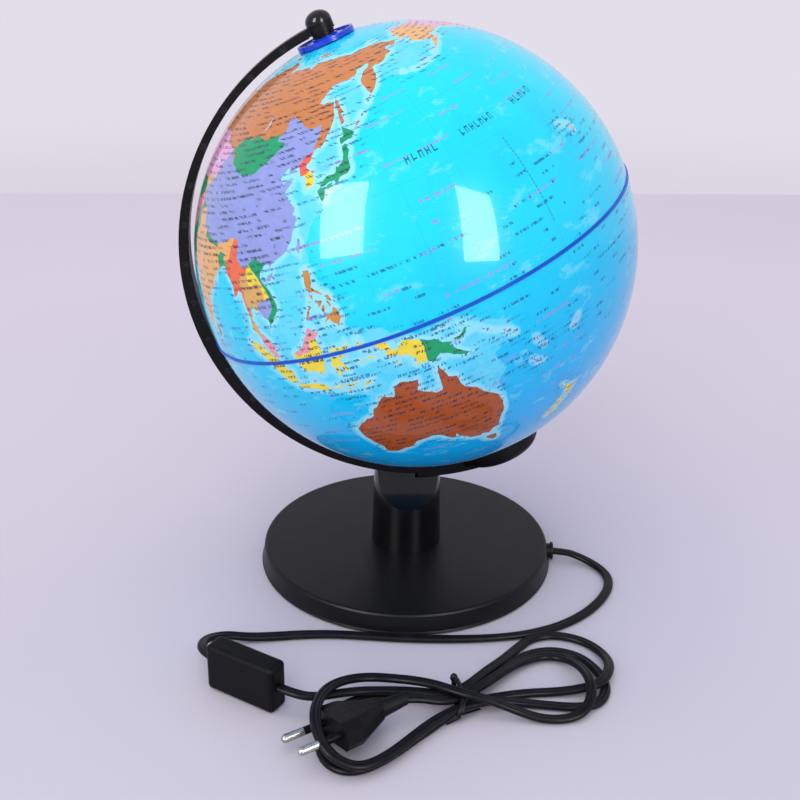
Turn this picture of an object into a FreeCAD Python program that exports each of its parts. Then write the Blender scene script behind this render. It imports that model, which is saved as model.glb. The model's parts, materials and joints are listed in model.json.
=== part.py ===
import FreeCAD, Part
import math
import os

# Illuminated desktop globe on a round stand, with an inline switch and a bundled mains lead.
# Millimetres. Origin: centre of the underside of the base. +Z up. The front of the globe faces -Y
# and the north pole leans towards -X.

# ---- driving dimensions ----
BALL_R = 115.0          # outer radius of the globe (230 mm ball)
BALL_WALL = 1.8
BALL_X = 2.3            # ball centre, beside the post's axis
BALL_Z = 185.8
TILT = 23.5             # lean of the axis in degrees

BASE_R_TOP = 82.0
BASE_R_BOT = 83.8
BASE_H = 12.0
BASE_WALL = 2.4
RIM_Z = 1.0             # lower edge of the shell, lifted by the foot ring

POST_R_BOT = 20.0
POST_R_TOP = 18.3
POST_CAVITY_R = 15.6
SCOOP_R = 31.9          # hollow on the post's front and back
SCOOP_Y = 38.8
SCOOP_Z = 64.6

ARM_IN_R = 118.0        # inner and outer arcs of the meridian arm are eccentric, so it thickens downwards
ARM_IN_DX, ARM_IN_DZ = 0.1, 1.5
ARM_OUT_R = 126.9
ARM_OUT_DX, ARM_OUT_DZ = 3.7, -1.7
ARM_TAIL_R = 131.0      # deeper section between the post and the lamp holder
ARM_HALF_MID = 5.8      # half width at the equator; tapers by 1/65 of the height along the axis
ARM_TAPER = 65.0

PIN_R = 2.0
BUSH_FIT = 0.06
DIAL_R = 14.7
KNOB_R = 6.6

CUP_R = 23.0
COLLAR_R_IN = 15.4
COLLAR_R_OUT = 19.0
NECK_R = 15.0

CORD_R = 2.1            # radius of the free lead's tube
SW_C = (-84.0, -130.1)  # centre of the inline switch on the floor plan
SW_ANG = -34.5          # direction of its long axis
SW_L, SW_H, SW_T = 40.0, 25.0, 12.0

os.makedirs("parts", exist_ok=True)
V = FreeCAD.Vector
NODES = {}


def put(name, shape):
    shape = shape.removeSplitter() if shape.ShapeType != "Compound" else shape
    NODES[name] = shape


def cyl(r, z0, z1, x=0.0, y=0.0):
    return Part.makeCylinder(r, z1 - z0, V(x, y, z0), V(0, 0, 1))


def tube(ro, ri, z0, z1, x=0.0, y=0.0):
    return cyl(ro, z0, z1, x, y).cut(cyl(ri, z0 - 1, z1 + 1, x, y))


def rev(pts):
    # solid of revolution about Z from an (r, z) outline
    w = Part.makePolygon([V(r, 0, z) for r, z in pts] + [V(pts[0][0], 0, pts[0][1])])
    return Part.Face(w).revolve(V(0, 0, 0), V(0, 0, 1), 360)


def prism(pts, z0, z1):
    w = Part.makePolygon([V(x, y, z0) for x, y in pts] + [V(pts[0][0], pts[0][1], z0)])
    return Part.Face(w).extrude(V(0, 0, z1 - z0))


def to_world(s):
    # from the globe's own frame (ball centre, +Z towards the north pole) to the object's frame
    s = s.copy()
    s.rotate(V(0, 0, 0), V(0, 1, 0), -TILT)
    s.translate(V(BALL_X, 0, BALL_Z))
    return s


def group(shapes):
    return Part.makeCompound(shapes)


def screw(x, y, z_head_lo, z_head_hi, r_head, r_shank, z_tip, up=True):
    head = cyl(r_head, z_head_lo, z_head_hi, x, y)
    shank = cyl(r_shank, z_head_hi - 0.01, z_tip, x, y) if up else cyl(r_shank, z_tip, z_head_lo + 0.01, x, y)
    s = head.fuse(shank)
    slot_z = z_head_lo if up else z_head_hi
    a = Part.makeBox(r_head * 1.2, 0.6, 0.6, V(x - r_head * 0.6, y - 0.3, slot_z - 0.3))
    b = Part.makeBox(0.6, r_head * 1.2, 0.6, V(x - 0.3, y - r_head * 0.6, slot_z - 0.3))
    return s.cut(a).cut(b)


RADII = {}


def cord_path(pts, name):
    # straight runs joined by tangent arcs; each arc is as large as its two runs allow
    P = [V(*p) for p in pts]
    edges = []
    start = P[0]
    radii = []
    for i in range(1, len(P) - 1):
        a, b, c = P[i - 1], P[i], P[i + 1]
        d1, d2 = b - a, c - b
        l1, l2 = d1.Length, d2.Length
        d1.normalize()
        d2.normalize()
        turn = d1.getAngle(d2)
        r = 0.45 * min(l1, l2) / math.tan(turn / 2.0)
        t = 0.45 * min(l1, l2)
        radii.append(round(r, 1))
        p1 = b - d1 * t
        p2 = b + d2 * t
        bis = (d2 - d1)
        bis.normalize()
        centre = b + bis * (r / math.cos(turn / 2.0))
        mid = centre - bis * r
        edges.append(Part.LineSegment(start, p1).toShape())
        edges.append(Part.Arc(p1, mid, p2).toShape())
        start = p2
    edges.append(Part.LineSegment(start, P[-1]).toShape())
    RADII[name] = radii
    return Part.Wire(edges)


def cord_tube(pts, r, name):
    path = cord_path(pts, name)
    d = V(*pts[1]) - V(*pts[0])
    prof = Part.Wire([Part.makeCircle(r, V(*pts[0]), d)])
    s = path.makePipeShell([prof], True, False)
    want = math.pi * r * r * path.Length
    print("%s length %.1f mm, volume %.1f of %.1f mm3, least radius %.1f mm, radii %s"
          % (name, path.Length, s.Volume, want, min(RADII[name]), RADII[name]))
    return s


# ---------------------------------------------------------------- base
exit_ang = math.radians(-5.0)
ex, ey = math.cos(exit_ang), math.sin(exit_ang)
EXIT_Z = 5.6
base = rev([(0, BASE_H), (BASE_R_TOP - 1.6, BASE_H), (BASE_R_TOP - 0.6, BASE_H - 0.35), (BASE_R_TOP, BASE_H - 1.2),
            (BASE_R_BOT - 0.4, 2.4), (BASE_R_BOT, 1.6), (BASE_R_BOT - 0.2, RIM_Z),
            (BASE_R_BOT - 0.2 - BASE_WALL, RIM_Z), (BASE_R_TOP - BASE_WALL, BASE_H - BASE_WALL), (0, BASE_H - BASE_WALL)])
BOSS = [(60 * math.cos(math.radians(a)), 60 * math.sin(math.radians(a))) for a in (60, 180, 300)]
for bx, by in BOSS:
    base = base.fuse(cyl(3.6, 3.05, BASE_H - BASE_WALL + 0.2, bx, by))
for bx, by in BOSS:
    base = base.cut(cyl(1.3, 2.0, BASE_H - BASE_WALL + 0.2, bx, by))
POST_SCREWS = [(0.0, 11.0), (0.0, -11.0)]
for sx, sy in POST_SCREWS:
    base = base.cut(cyl(1.75, 5, 15, sx, sy))
base = base.cut(cyl(6.0, 5, 15))
grommet_hole = Part.makeCylinder(4.3, 14, V(74 * ex, 74 * ey, EXIT_Z), V(ex, ey, 0))
base = base.cut(grommet_hole)
# lugs that the inner lead clip is screwed to
CLAMP = (62.0 * ex, 62.0 * ey)
LUGS = [(CLAMP[0] - ey * s * 7.0, CLAMP[1] + ex * s * 7.0) for s in (1, -1)]
for lx, ly in LUGS:
    base = base.fuse(cyl(2.6, 8.5, BASE_H - BASE_WALL + 0.2, lx, ly))
put("base_shell", base)

plate = cyl(79.0, RIM_Z, RIM_Z + 2.0)
for bx, by in BOSS:
    plate = plate.cut(cyl(1.7, 0, 5, bx, by))
plate = plate.cut(cyl(5.0, 0, 5, 0, 0))
put("base_plate", plate)
put("foot_ring", tube(77.0, 66.0, 0.0, RIM_Z))
put("base_screws", group([screw(bx, by, 0.15, RIM_Z, 2.9, 1.25, 8.6) for bx, by in BOSS]))

# clip that holds the lead inside the base, with its two screws
clip = Part.makeBox(6.0, 20.0, 1.5, V(-3, -10, 7.0))
clip.rotate(V(0, 0, 0), V(0, 0, 1), math.degrees(exit_ang))
clip.translate(V(CLAMP[0], CLAMP[1], 0))
for lx, ly in LUGS:
    clip = clip.cut(cyl(1.2, 4, 9, lx, ly))
put("lead_clip", clip)
put("lead_clip_screws", group([cyl(2.1, 5.8, 7.0, lx, ly).fuse(cyl(1.1, 6.9, 8.5, lx, ly)) for lx, ly in LUGS]))

g = Part.makeCylinder(4.2, 6.2, V(79.6 * ex, 79.6 * ey, EXIT_Z), V(ex, ey, 0))
g = g.fuse(Part.makeCylinder(5.0, 1.3, V(84.5 * ex, 84.5 * ey, EXIT_Z), V(ex, ey, 0)))
g = g.cut(Part.makeCylinder(CORD_R + 0.05, 20, V(74 * ex, 74 * ey, EXIT_Z), V(ex, ey, 0)))
put("cord_grommet", g)

# ---------------------------------------------------------------- post
CO = (BALL_X + ARM_OUT_DX, BALL_Z + ARM_OUT_DZ)
CI = (BALL_X + ARM_IN_DX, BALL_Z + ARM_IN_DZ)


def y_cyl(x, z, r, half=60.0):
    return Part.makeCylinder(r, 2 * half, V(x, -half, z), V(0, 1, 0))


post = rev([(0, BASE_H), (POST_R_BOT, BASE_H), (POST_R_BOT, BASE_H + 0.8), (POST_R_TOP, 70), (0, 70)])
for s in (1, -1):
    sc = Part.makeCylinder(SCOOP_R, 60, V(-30, s * SCOOP_Y, SCOOP_Z), V(1, 0, 0))
    post = post.cut(sc)
    post = post.cut(Part.makeBox(60, 40, 20, V(-30, 7.4 if s > 0 else -47.4, SCOOP_Z)))
post = post.cut(cyl(POST_CAVITY_R, BASE_H - 1, 30.0))
for sx, sy in POST_SCREWS:
    post = post.fuse(cyl(3.3, BASE_H, 30.5, sx, sy))
    post = post.cut(cyl(1.25, BASE_H - 1, 24.0, sx, sy))
post = post.cut(cyl(3.2, 28, 52.0)).cut(Part.makeBox(11.0, 8.0, 24.0, V(-3.6, -4.0, 51.0)))
ARM_SCREW_X = -11.0
post = post.cut(cyl(1.8, 28, 75.0, ARM_SCREW_X, 0)).cut(cyl(3.3, 28, 40.0, ARM_SCREW_X, 0))
post = post.cut(y_cyl(CO[0], CO[1], ARM_OUT_R))
post = post.cut(y_cyl(BALL_X, BALL_Z, ARM_TAIL_R).common(Part.makeBox(60, 80, 90, V(4.0, -40, 20))))
put("pedestal_post", post)
put("post_screws", group([screw(sx, sy, BASE_H - BASE_WALL - 1.9, BASE_H - BASE_WALL, 3.1, 1.2, 22.0) for sx, sy in POST_SCREWS]))

# ---------------------------------------------------------------- meridian arm
blank = y_cyl(CO[0], CO[1], ARM_OUT_R, 12).cut(y_cyl(CI[0], CI[1], ARM_IN_R, 13))


def sector(d0, d1, r=260.0):
    # wedge between two directions, measured from +Z towards +X, about the ball centre
    n = 24
    pts = [V(BALL_X, -15, BALL_Z)]
    for i in range(n + 1):
        a = math.radians(d0 + (d1 - d0) * i / n)
        pts.append(V(BALL_X + r * math.sin(a), -15, BALL_Z + r * math.cos(a)))
    pts.append(pts[0])
    return Part.Face(Part.makePolygon(pts)).extrude(V(0, 30, 0))


arm = blank.common(sector(-TILT - 0.001, -190.0))
tail = y_cyl(BALL_X, BALL_Z, ARM_TAIL_R, 12).cut(y_cyl(CI[0], CI[1], ARM_IN_R, 13))
tail_mid = y_cyl(CO[0], CO[1], ARM_OUT_R, 12).cut(y_cyl(CI[0], CI[1], ARM_IN_R, 13)).common(sector(-180.0, -209.0))
tail_deep = tail.common(sector(-181.5, -209.0)).common(Part.makeBox(200, 60, 400, V(4.0, -30, 0)))
arm = arm.fuse(tail_mid).fuse(tail_deep)
# taper the width along the axis: narrow at the pole end, wide at the foot
w0 = ARM_HALF_MID + 140 / ARM_TAPER
w1 = ARM_HALF_MID - 140 / ARM_TAPER
wedge = Part.Face(Part.makePolygon([V(-220, -w0, -140), V(-220, w0, -140), V(-220, w1, 140), V(-220, -w1, 140), V(-220, -w0, -140)])).extrude(V(440, 0, 0))
arm = arm.common(to_world(wedge))
# the tail ends in a rounded tongue just past the pole axis
end = Part.makeBox(40, 40, 40, V(-0.8, -20, -150)).cut(cyl(7.4, -151, -109, -0.8, 0))
arm = arm.cut(to_world(end))
boss_n = to_world(cyl(6.5, 119.5, 123.9))
arm = arm.fuse(boss_n)
arm = arm.cut(to_world(cyl(PIN_R + 0.03, 110, 130)))
arm = arm.cut(to_world(cyl(8.0, 110, 119.5)))
# flat seat for the lamp holder at the south end
arm = arm.cut(to_world(cyl(CUP_R + 0.3, -127.3, -110)))
CUP_SCREW_X = 2.0
# way for the inner lead: up from the post, then along the underside of the tail
LEAD_R = 1.6
arm = arm.cut(cyl(3.4, 40, 62.0)).cut(Part.makeSphere(5.0, V(3.2, 0, 59.0)))
groove = Part.makeTorus(124.6, 3.0, V(BALL_X, 0, BALL_Z), V(0, 1, 0)).common(sector(-179.0, -210.0))
arm = arm.cut(groove)
arm = arm.cut(cyl(1.3, 52, 64.0, ARM_SCREW_X, 0))
arm = arm.cut(to_world(cyl(1.4, -134, -110, CUP_SCREW_X, 0).fuse(cyl(2.8, -136, -129.65, CUP_SCREW_X, 0))))
put("meridian_arm", arm)
sc_z = 40.0
put("arm_screw", screw(ARM_SCREW_X, 0, 38.2, sc_z, 3.0, 1.25, 62.0))

# ---------------------------------------------------------------- pole end
put("pole_pin", to_world(cyl(PIN_R, 100.0, 126.0)))
put("pole_spacer", to_world(tube(5.7, PIN_R + 0.03, 117.4, 119.5)))
n = 10
dome = [(0, 124.0), (KNOB_R, 124.0), (KNOB_R, 124.6)]
for i in range(1, n + 1):
    a = math.radians(90.0 * i / n)
    dome.append((KNOB_R * math.cos(a) if i < n else 0.0, 124.6 + 5.2 * math.sin(a)))
knob = rev(dome).cut(cyl(PIN_R + 0.03, 120, 126.1))
put("pole_knob", to_world(knob))

# ---------------------------------------------------------------- lamp holder at the south pole
cup = rev([(0, -127.2), (18.4, -127.2), (21.2, -126.2), (22.7, -124.2), (CUP_R, -121.0), (CUP_R, -117.4),
           (21.2, -116.4), (NECK_R + 0.0, -116.4), (NECK_R, -103.0), (13.2, -103.0), (13.2, -122.0), (0, -122.0)])
cup = cup.cut(Part.makeBox(21.0, 4.8, 5.6, V(-26.0, -2.4, -126.3)))
cup = cup.fuse(cyl(3.2, -122.2, -116.0, CUP_SCREW_X, 0))
cup = cup.cut(cyl(1.25, -130, -117.5, CUP_SCREW_X, 0))
put("lamp_holder_cup", to_world(cup))

sk = rev([(0, -121.5), (12.9, -121.5), (12.9, -103.0), (14.4, -102.6), (14.4, -99.0), (12.4, -99.0), (12.4, -76.0),
          (9.4, -76.0), (9.4, -108.0), (0, -108.0)])
sk = sk.cut(cyl(4.9, -122.5, -110.5, -6.8, 0)).cut(cyl(3.6, -122.5, -115.4, CUP_SCREW_X, 0))
sk = sk.cut(cyl(1.3, -120, -105, -4.0, 0))
put("lamp_socket", to_world(sk))
put("socket_sleeve", to_world(tube(9.2, 8.5, -104.0, -77.0)))
leaf = Part.makeBox(10, 4, 0.8, V(-5.0, -2, -107.9)).fuse(cyl(1.6, -107.2, -104.2, 0, 0))
put("socket_contact", to_world(leaf))
put("bulb_cap", to_world(rev([(0, -103.9), (4.0, -103.9), (6.9, -101.5), (6.9, -79.0), (0, -79.0)])))
glass = [(0, -78.9), (7.0, -78.9), (8.2, -72.0), (12.0, -62.0), (13.6, -52.0), (13.2, -42.0), (10.4, -33.0), (5.6, -27.6), (0, -25.8)]
inner = [(0, -76.9), (5.4, -76.9), (6.8, -71.2), (10.6, -61.4), (12.3, -52.0), (11.9, -42.6), (9.3, -34.4), (5.0, -29.4), (0, -27.8)]
put("bulb_glass", to_world(rev(glass).cut(rev(inner))))
fil = cyl(1.8, -76.8, -62.0).fuse(Part.makeCylinder(0.35, 14, V(-1.2, 0, -62.5), V(-0.25, 0, 1))).fuse(Part.makeCylinder(0.35, 14, V(1.2, 0, -62.5), V(0.25, 0, 1)))
fil = fil.fuse(Part.makeCylinder(0.4, 9.6, V(-4.8, 0, -49.2), V(1, 0, 0)))
put("bulb_filament", to_world(fil))
put("cup_screws", to_world(cyl(1.2, -129.8, -118.0, CUP_SCREW_X, 0).fuse(cyl(2.6, -131.4, -129.7, CUP_SCREW_X, 0))))

# ---------------------------------------------------------------- globe
full = Part.makeSphere(BALL_R, V(0, 0, 0), V(0, 0, 1)).cut(Part.makeSphere(BALL_R - BALL_WALL, V(0, 0, 0), V(0, 0, 1)))
big = 400
north = full.common(Part.makeBox(big, big, big, V(-big / 2, -big / 2, 0.8))).cut(cyl(7.0, 90, 130))
south = full.common(Part.makeBox(big, big, big, V(-big / 2, -big / 2, -big - 0.8))).cut(cyl(COLLAR_R_OUT + 0.05, -130, -90))
put("north_hemisphere", to_world(north))
put("south_hemisphere", to_world(south))
ring = rev([(BALL_R - 3.7, -5.0), (BALL_R - 2.1, -5.0), (BALL_R - 2.1, -0.75), (BALL_R + 0.55, -0.75), (BALL_R + 0.55, 0.75),
            (BALL_R - 2.1, 0.75), (BALL_R - 2.1, 5.0), (BALL_R - 3.7, 5.0)])
put("equator_ring", to_world(ring))
bush = rev([(PIN_R + BUSH_FIT, 103.0), (6.0, 103.0), (6.0, 110.6), (11.0, 110.6), (11.0, 112.2), (6.95, 112.7), (6.95, 114.9), (PIN_R + BUSH_FIT, 114.9)])
put("north_bush", to_world(bush))
dial = rev([(PIN_R + BUSH_FIT, 115.2), (13.2, 115.2), (13.2, 114.55), (DIAL_R, 114.55), (DIAL_R, 116.9), (13.4, 116.9), (13.4, 116.2), (6.4, 116.2), (6.4, 117.1), (PIN_R + BUSH_FIT, 117.1)])
put("time_dial", to_world(dial))
col = rev([(COLLAR_R_IN, -115.2), (20.6, -115.2), (20.6, -113.9), (COLLAR_R_OUT, -113.5), (COLLAR_R_OUT, -109.0), (COLLAR_R_IN, -109.0)])
put("south_collar", to_world(col))

# ---------------------------------------------------------------- inner lead, held all the way
t = math.radians
def on_tail(d, r=124.6):
    return (BALL_X + r * math.sin(t(d)), 0.0, BALL_Z + r * math.cos(t(d)))


def from_axis(x, z):
    w = to_world(Part.Vertex(x, 0, z)).Point
    return (w.x, w.y, w.z)


START = 77.5
lead = [(START * ex, START * ey, EXIT_Z), (70 * ex, 70 * ey, EXIT_Z), (56 * ex, 56 * ey, 5.0), (38, -2.6, 4.9), (22, -0.4, 5.0), (8.6, 0.4, 5.4), (1.4, 0.1, 10.4), (0.0, 0.0, 20.0), (0.15, 0.0, 36.0),
        (0.0, 0.0, 50.0), (3.4, 0.0, 58.6), on_tail(-185.2), on_tail(-190.6), on_tail(-195.6), from_axis(-11.2, -123.6), from_axis(-6.9, -119.6), from_axis(-5.4, -114.0)]
put("lamp_lead", cord_tube(lead, LEAD_R, "lamp_lead"))

# ---------------------------------------------------------------- inline switch
ua = math.radians(SW_ANG)
ux, uy = math.cos(ua), math.sin(ua)
vx, vy = -uy, ux


def sw_world(s):
    # from the switch's own frame (X along it, Y to its back, Z up from the floor) to the object's frame
    s = s.copy()
    s.rotate(V(0, 0, 0), V(0, 0, 1), SW_ANG)
    s.translate(V(SW_C[0], SW_C[1], 0))
    return s


def sw_pt(x, y, z):
    return (SW_C[0] + ux * x + vx * y, SW_C[1] + uy * x + vy * y, z)


def rounded_box(l, tdep, h, z0, r):
    b = Part.makeBox(l, tdep, h, V(-l / 2, -tdep / 2, z0))
    return b.makeFillet(r, b.Edges)


body = rounded_box(SW_L, SW_T, SW_H, 0.0, 2.6)
inner_b = Part.makeBox(SW_L - 4.4, SW_T - 4.0, SW_H - 4.4, V(-(SW_L - 4.4) / 2, -(SW_T - 4.0) / 2, 2.2))
body = body.cut(inner_b)
ROCK_L, ROCK_W = 15.0, 9.0
body = body.cut(Part.makeBox(ROCK_L + 0.8, 8, ROCK_W + 0.8, V(-(ROCK_L + 0.8) / 2, 2, SW_H / 2 - (ROCK_W + 0.8) / 2)))
END_Y = 2.0
for s, yy in ((-1, END_Y), (1, 0.0)):
    body = body.cut(Part.makeCylinder(CORD_R + 0.05, 8, V(s * (SW_L / 2 + 2), yy, SW_H / 2), V(-s, 0, 0)))
split = 0.4
front_half = body.common(Part.makeBox(80, 40, 60, V(-40, -40 + split - 0.05, -10)))
back_half = body.common(Part.makeBox(80, 40, 60, V(-40, split + 0.05, -10)))
pegs = [(-14.6, 6.0), (14.6, SW_H - 6.0)]
for px, pz in pegs:
    front_half = front_half.fuse(Part.makeCylinder(2.4, 4.8, V(px, -4.4, pz), V(0, 1, 0)).cut(Part.makeCylinder(0.9, 4.8, V(px, -3.0, pz), V(0, 1, 0))))
    back_half = back_half.fuse(Part.makeCylinder(2.4, 4.0, V(px, 0.5, pz), V(0, 1, 0)))
    back_half = back_half.cut(Part.makeCylinder(1.1, 20, V(px, -2, pz), V(0, 1, 0))).cut(Part.makeCylinder(2.0, 6, V(px, 3.2, pz), V(0, 1, 0)))
put("switch_front_shell", sw_world(front_half))
put("switch_back_shell", sw_world(back_half))
put("switch_screws", sw_world(group([Part.makeCylinder(1.8, 1.4, V(px, 3.2, pz), V(0, 1, 0)).fuse(Part.makeCylinder(0.85, 6.2, V(px, -2.9, pz), V(0, 1, 0))) for px, pz in pegs])))
put("switch_contacts", sw_world(group([Part.makeBox(7.0, 0.8, 3.0, V(-12.0, -3.9, 12.0)), Part.makeBox(7.0, 0.8, 3.0, V(5.0, -3.9, 12.0))])))

# rocker on the back face: rests with its left end proud, pivots about a vertical pin line
RP_Y = 4.4
prof = [(-7.5, 3.2), (7.5, 3.2), (7.5, 6.2), (0.0, 6.6), (-7.5, 8.4)]
w = Part.makePolygon([V(a, b, SW_H / 2 - ROCK_W / 2) for a, b in prof] + [V(prof[0][0], prof[0][1], SW_H / 2 - ROCK_W / 2)])
rock = Part.Face(w).extrude(V(0, 0, ROCK_W))
rock = rock.common(Part.makeCylinder(7.6, 30, V(0, RP_Y, 0), V(0, 0, 1)))
rock = rock.fuse(Part.makeCylinder(1.0, ROCK_W, V(0, 3.2, SW_H / 2 - ROCK_W / 2), V(0, 0, 1)))
put("switch_rocker", sw_world(rock))

# ---------------------------------------------------------------- free lead, base to switch
xe = 85.6
L1 = [(START * ex, START * ey, EXIT_Z), (92.5 * ex, 92.5 * ey, EXIT_Z), (101.5, -12.0, 3.6), (109.5, -19.5, 2.4), (113.6, -29.5, 2.4),
      (112.2, -41.0, 2.4), (106.2, -52.6, 2.4), (97.6, -63.6, 2.4), (86.6, -73.4, 2.4), (73.6, -81.0, 2.4), (59.0, -86.0, 2.4), (43.6, -88.6, 2.4),
      (27.0, -89.4, 2.4), (9.5, -88.9, 2.4), (-8.0, -87.6, 2.4), (-25.0, -85.2, 2.4), (-42.0, -83.0, 2.4), (-59.0, -82.9, 2.4), (-73.0, -84.4, 2.4),
      (-86.5, -86.0, 3.0)]
E1 = sw_pt(-SW_L / 2, END_Y, SW_H / 2)
r_h = 16.2
stub = sw_pt(-SW_L / 2 - 1.4, END_Y, SW_H / 2)
hc = (stub[0] + vx * r_h, stub[1] + vy * r_h)
out = (180.0 + SW_ANG)                      # heading that leaves the switch's left end
turn_all = 145.5
k = 3
step = turn_all / k
rad = r_h / math.cos(math.radians(step / 2))
for j, zz in ((0, 5.4), (1, 10.0), (2, SW_H / 2)):
    a = math.radians(90.0 + step * (j + 0.5))
    L1.append((hc[0] + rad * math.cos(a), hc[1] + rad * math.sin(a), zz))
L1.append(sw_pt(-SW_L / 2 + 5.6, END_Y, SW_H / 2))
put("mains_lead_a", cord_tube(L1, CORD_R, "mains_lead_a"))

# ---------------------------------------------------------------- free lead, switch to bundle
HANK_Z0, HANK_Z1 = 0.25, 12.0
L2 = [sw_pt(SW_L / 2 - 5.0, 0.0, SW_H / 2), sw_pt(SW_L / 2 + 7.5, 0.0, SW_H / 2), (-51.2, -147.8, 10.6), (-40.4, -142.6, 7.6), (-28.4, -138.4, 5.6),
      (-14.0, -136.8, 5.0), (-4.6, -137.9, 5.1), (4.0, -139.4, 5.4)]
put("mains_lead_b", cord_tube(L2, CORD_R, "mains_lead_b"))

# bundled middle of the lead: a tied bow of loose turns, as one plain solid of its outer shape
outer = [(9.5, -137.5), (4, -132.4), (-6, -127.6), (-18, -123.6), (-30, -122.6), (-42, -126.0), (-51, -134.5), (-55.6, -147), (-55.8, -161), (-52.6, -174), (-45.5, -184.5),
         (-35.6, -190.6), (-24, -191.4), (-12, -186.6), (0, -177), (9.5, -165.5), (17, -156.6), (25, -153.0), (35, -154.6), (47, -161.6), (58, -165.4), (69, -165.0), (80, -160.0),
         (88, -151.6), (92, -143), (99, -131), (101, -118), (98.4, -105), (91.0, -96.4), (81, -92.6), (70, -92.8), (59, -96.4), (48.5, -102.8), (38, -112), (28, -121.6), (18, -128.4)]
hank = prism(outer, HANK_Z0, HANK_Z1)
left_eye = [(1.6, -148.2), (-5.6, -138.6), (-16, -133.8), (-30, -132.2), (-39, -137), (-44.4, -148), (-44.6, -160.6), (-41.6, -171), (-35.6, -178.4), (-27, -180.8), (-16, -176.2), (-6, -167.4), (2.6, -157.6)]
right_eye = [(40, -136.6), (40, -126.0), (50, -117.6), (60, -113.2), (70, -113.4), (77, -119.4), (79.6, -128), (77, -135.0), (60, -137.4)]
hank = hank.cut(prism(left_eye, -1, 20)).cut(prism(right_eye, -1, 20))

# ---------------------------------------------------------------- plug at the end of the lead
Q = V(-8.4, -151.6, 12.7)                    # end of the plug's relief
PA = -152.0                                  # direction of the pins on the floor plan
ROLL = 18.0
PITCH = 3.0                                   # pins point slightly down
PLUG_L, RELIEF_L = 23.0, 16.0


def plug_world(s):
    # from the plug's own frame (+X towards the pins, Y across the pins, Z up) to the object's frame
    s = s.copy()
    s.rotate(V(0, 0, 0), V(1, 0, 0), ROLL)
    s.rotate(V(0, 0, 0), V(0, 1, 0), PITCH)
    s.rotate(V(0, 0, 0), V(0, 0, 1), PA)
    s.translate(Q)
    return s


def hexa(x, wy, wz, ey_, ez):
    p = [V(x, -wy / 2, -ez / 2), V(x, -ey_ / 2, -wz / 2), V(x, ey_ / 2, -wz / 2), V(x, wy / 2, -ez / 2), V(x, wy / 2, ez / 2), V(x, ey_ / 2, wz / 2), V(x, -ey_ / 2, wz / 2), V(x, -wy / 2, ez / 2)]
    return Part.makePolygon(p + [p[0]])


pb = Part.makeLoft([hexa(RELIEF_L - 2, 11.0, 8.4, 6.6, 4.0), hexa(RELIEF_L + 4, 20.0, 10.4, 13.0, 4.4), hexa(RELIEF_L + 14, 33.0, 13.4, 24.0, 5.6), hexa(RELIEF_L + PLUG_L, 34.6, 13.6, 25.6, 5.8)], True, True)
put("plug_body", plug_world(pb))
rel = Part.makeCone(3.0, 4.4, RELIEF_L - 2.0, V(0, 0, 0), V(1, 0, 0))
for i in range(4):
    rel = rel.cut(Part.makeTorus(4.4 + 0.23 * i * 1.0, 0.8, V(2.6 + 3.0 * i, 0, 0), V(1, 0, 0)))
put("plug_relief", plug_world(rel))
sleeves, pins = [], []
for s in (1, -1):
    x0 = RELIEF_L + PLUG_L
    pins.append(plug_world(Part.makeCylinder(2.0, 9.0, V(x0 + 10, s * 9.2, 0), V(1, 0, 0)).fuse(Part.makeSphere(2.0, V(x0 + 19, s * 9.2, 0)).common(Part.makeBox(4, 6, 6, V(x0 + 18.9, s * 9.2 - 3, -3))))
                           .fuse(Part.makeCylinder(1.3, 14, V(x0 - 3.5, s * 9.2, 0), V(1, 0, 0)))))
    sleeves.append(plug_world(Part.makeCylinder(1.9, 13.4, V(x0 - 3.4, s * 9.2, 0), V(1, 0, 0)).cut(Part.makeCylinder(1.32, 20, V(x0 - 5, s * 9.2, 0), V(1, 0, 0)))))
put("plug_pins", group(pins))
put("plug_sleeves", group(sleeves))
cut_pb = NODES["plug_body"]
body_cut = Part.makeCylinder(1.92, 8, V(RELIEF_L + PLUG_L - 3.5, 9.2, 0), V(1, 0, 0)).fuse(Part.makeCylinder(1.92, 8, V(RELIEF_L + PLUG_L - 3.5, -9.2, 0), V(1, 0, 0)))
put("plug_body", cut_pb.cut(plug_world(body_cut)))

L3 = [(Q.x, Q.y, Q.z), (Q.x + 6.4, Q.y + 3.403, Q.z + 0.38), (4.0, -145.6, 11.2)]
put("mains_lead_c", cord_tube(L3, CORD_R, "mains_lead_c"))

# twist tie round the waist of the bow
tie = Part.makeBox(3.2, 27.2, 13.4, V(-1.6, -13.6, 0)).cut(Part.makeBox(8, 25.6, 11.8, V(-4, -12.8, 0.8)))
tie.translate(V(20.6, -141.4, 0.0))
hank = hank.cut(Part.makeBox(3.3, 40, 0.9, V(18.95, -161, -0.05)))
for y0 in (-165.0, -128.65):
    hank = hank.cut(Part.makeBox(3.3, 10.85, 14, V(18.95, y0, -0.5)))
hank = hank.cut(Part.makeBox(3.3, 40, 4, V(18.95, -161, 12.55)))
put("cord_tie", tie)
put("cord_hank", hank)

for name, s in sorted(NODES.items()):
    s.exportStep("parts/%s.step" % name)
    bb = s.BoundBox
    print("%-20s solids %d valid %s vol %.0f  x %.1f..%.1f y %.1f..%.1f z %.1f..%.1f" % (name, len(s.Solids), s.isValid(), s.Volume, bb.XMin, bb.XMax, bb.YMin, bb.YMax, bb.ZMin, bb.ZMax))
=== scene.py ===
import json
import math
import random

import bmesh
import bpy
import numpy as np
from mathutils import Matrix, Vector
from mathutils.geometry import delaunay_2d_cdt


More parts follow.
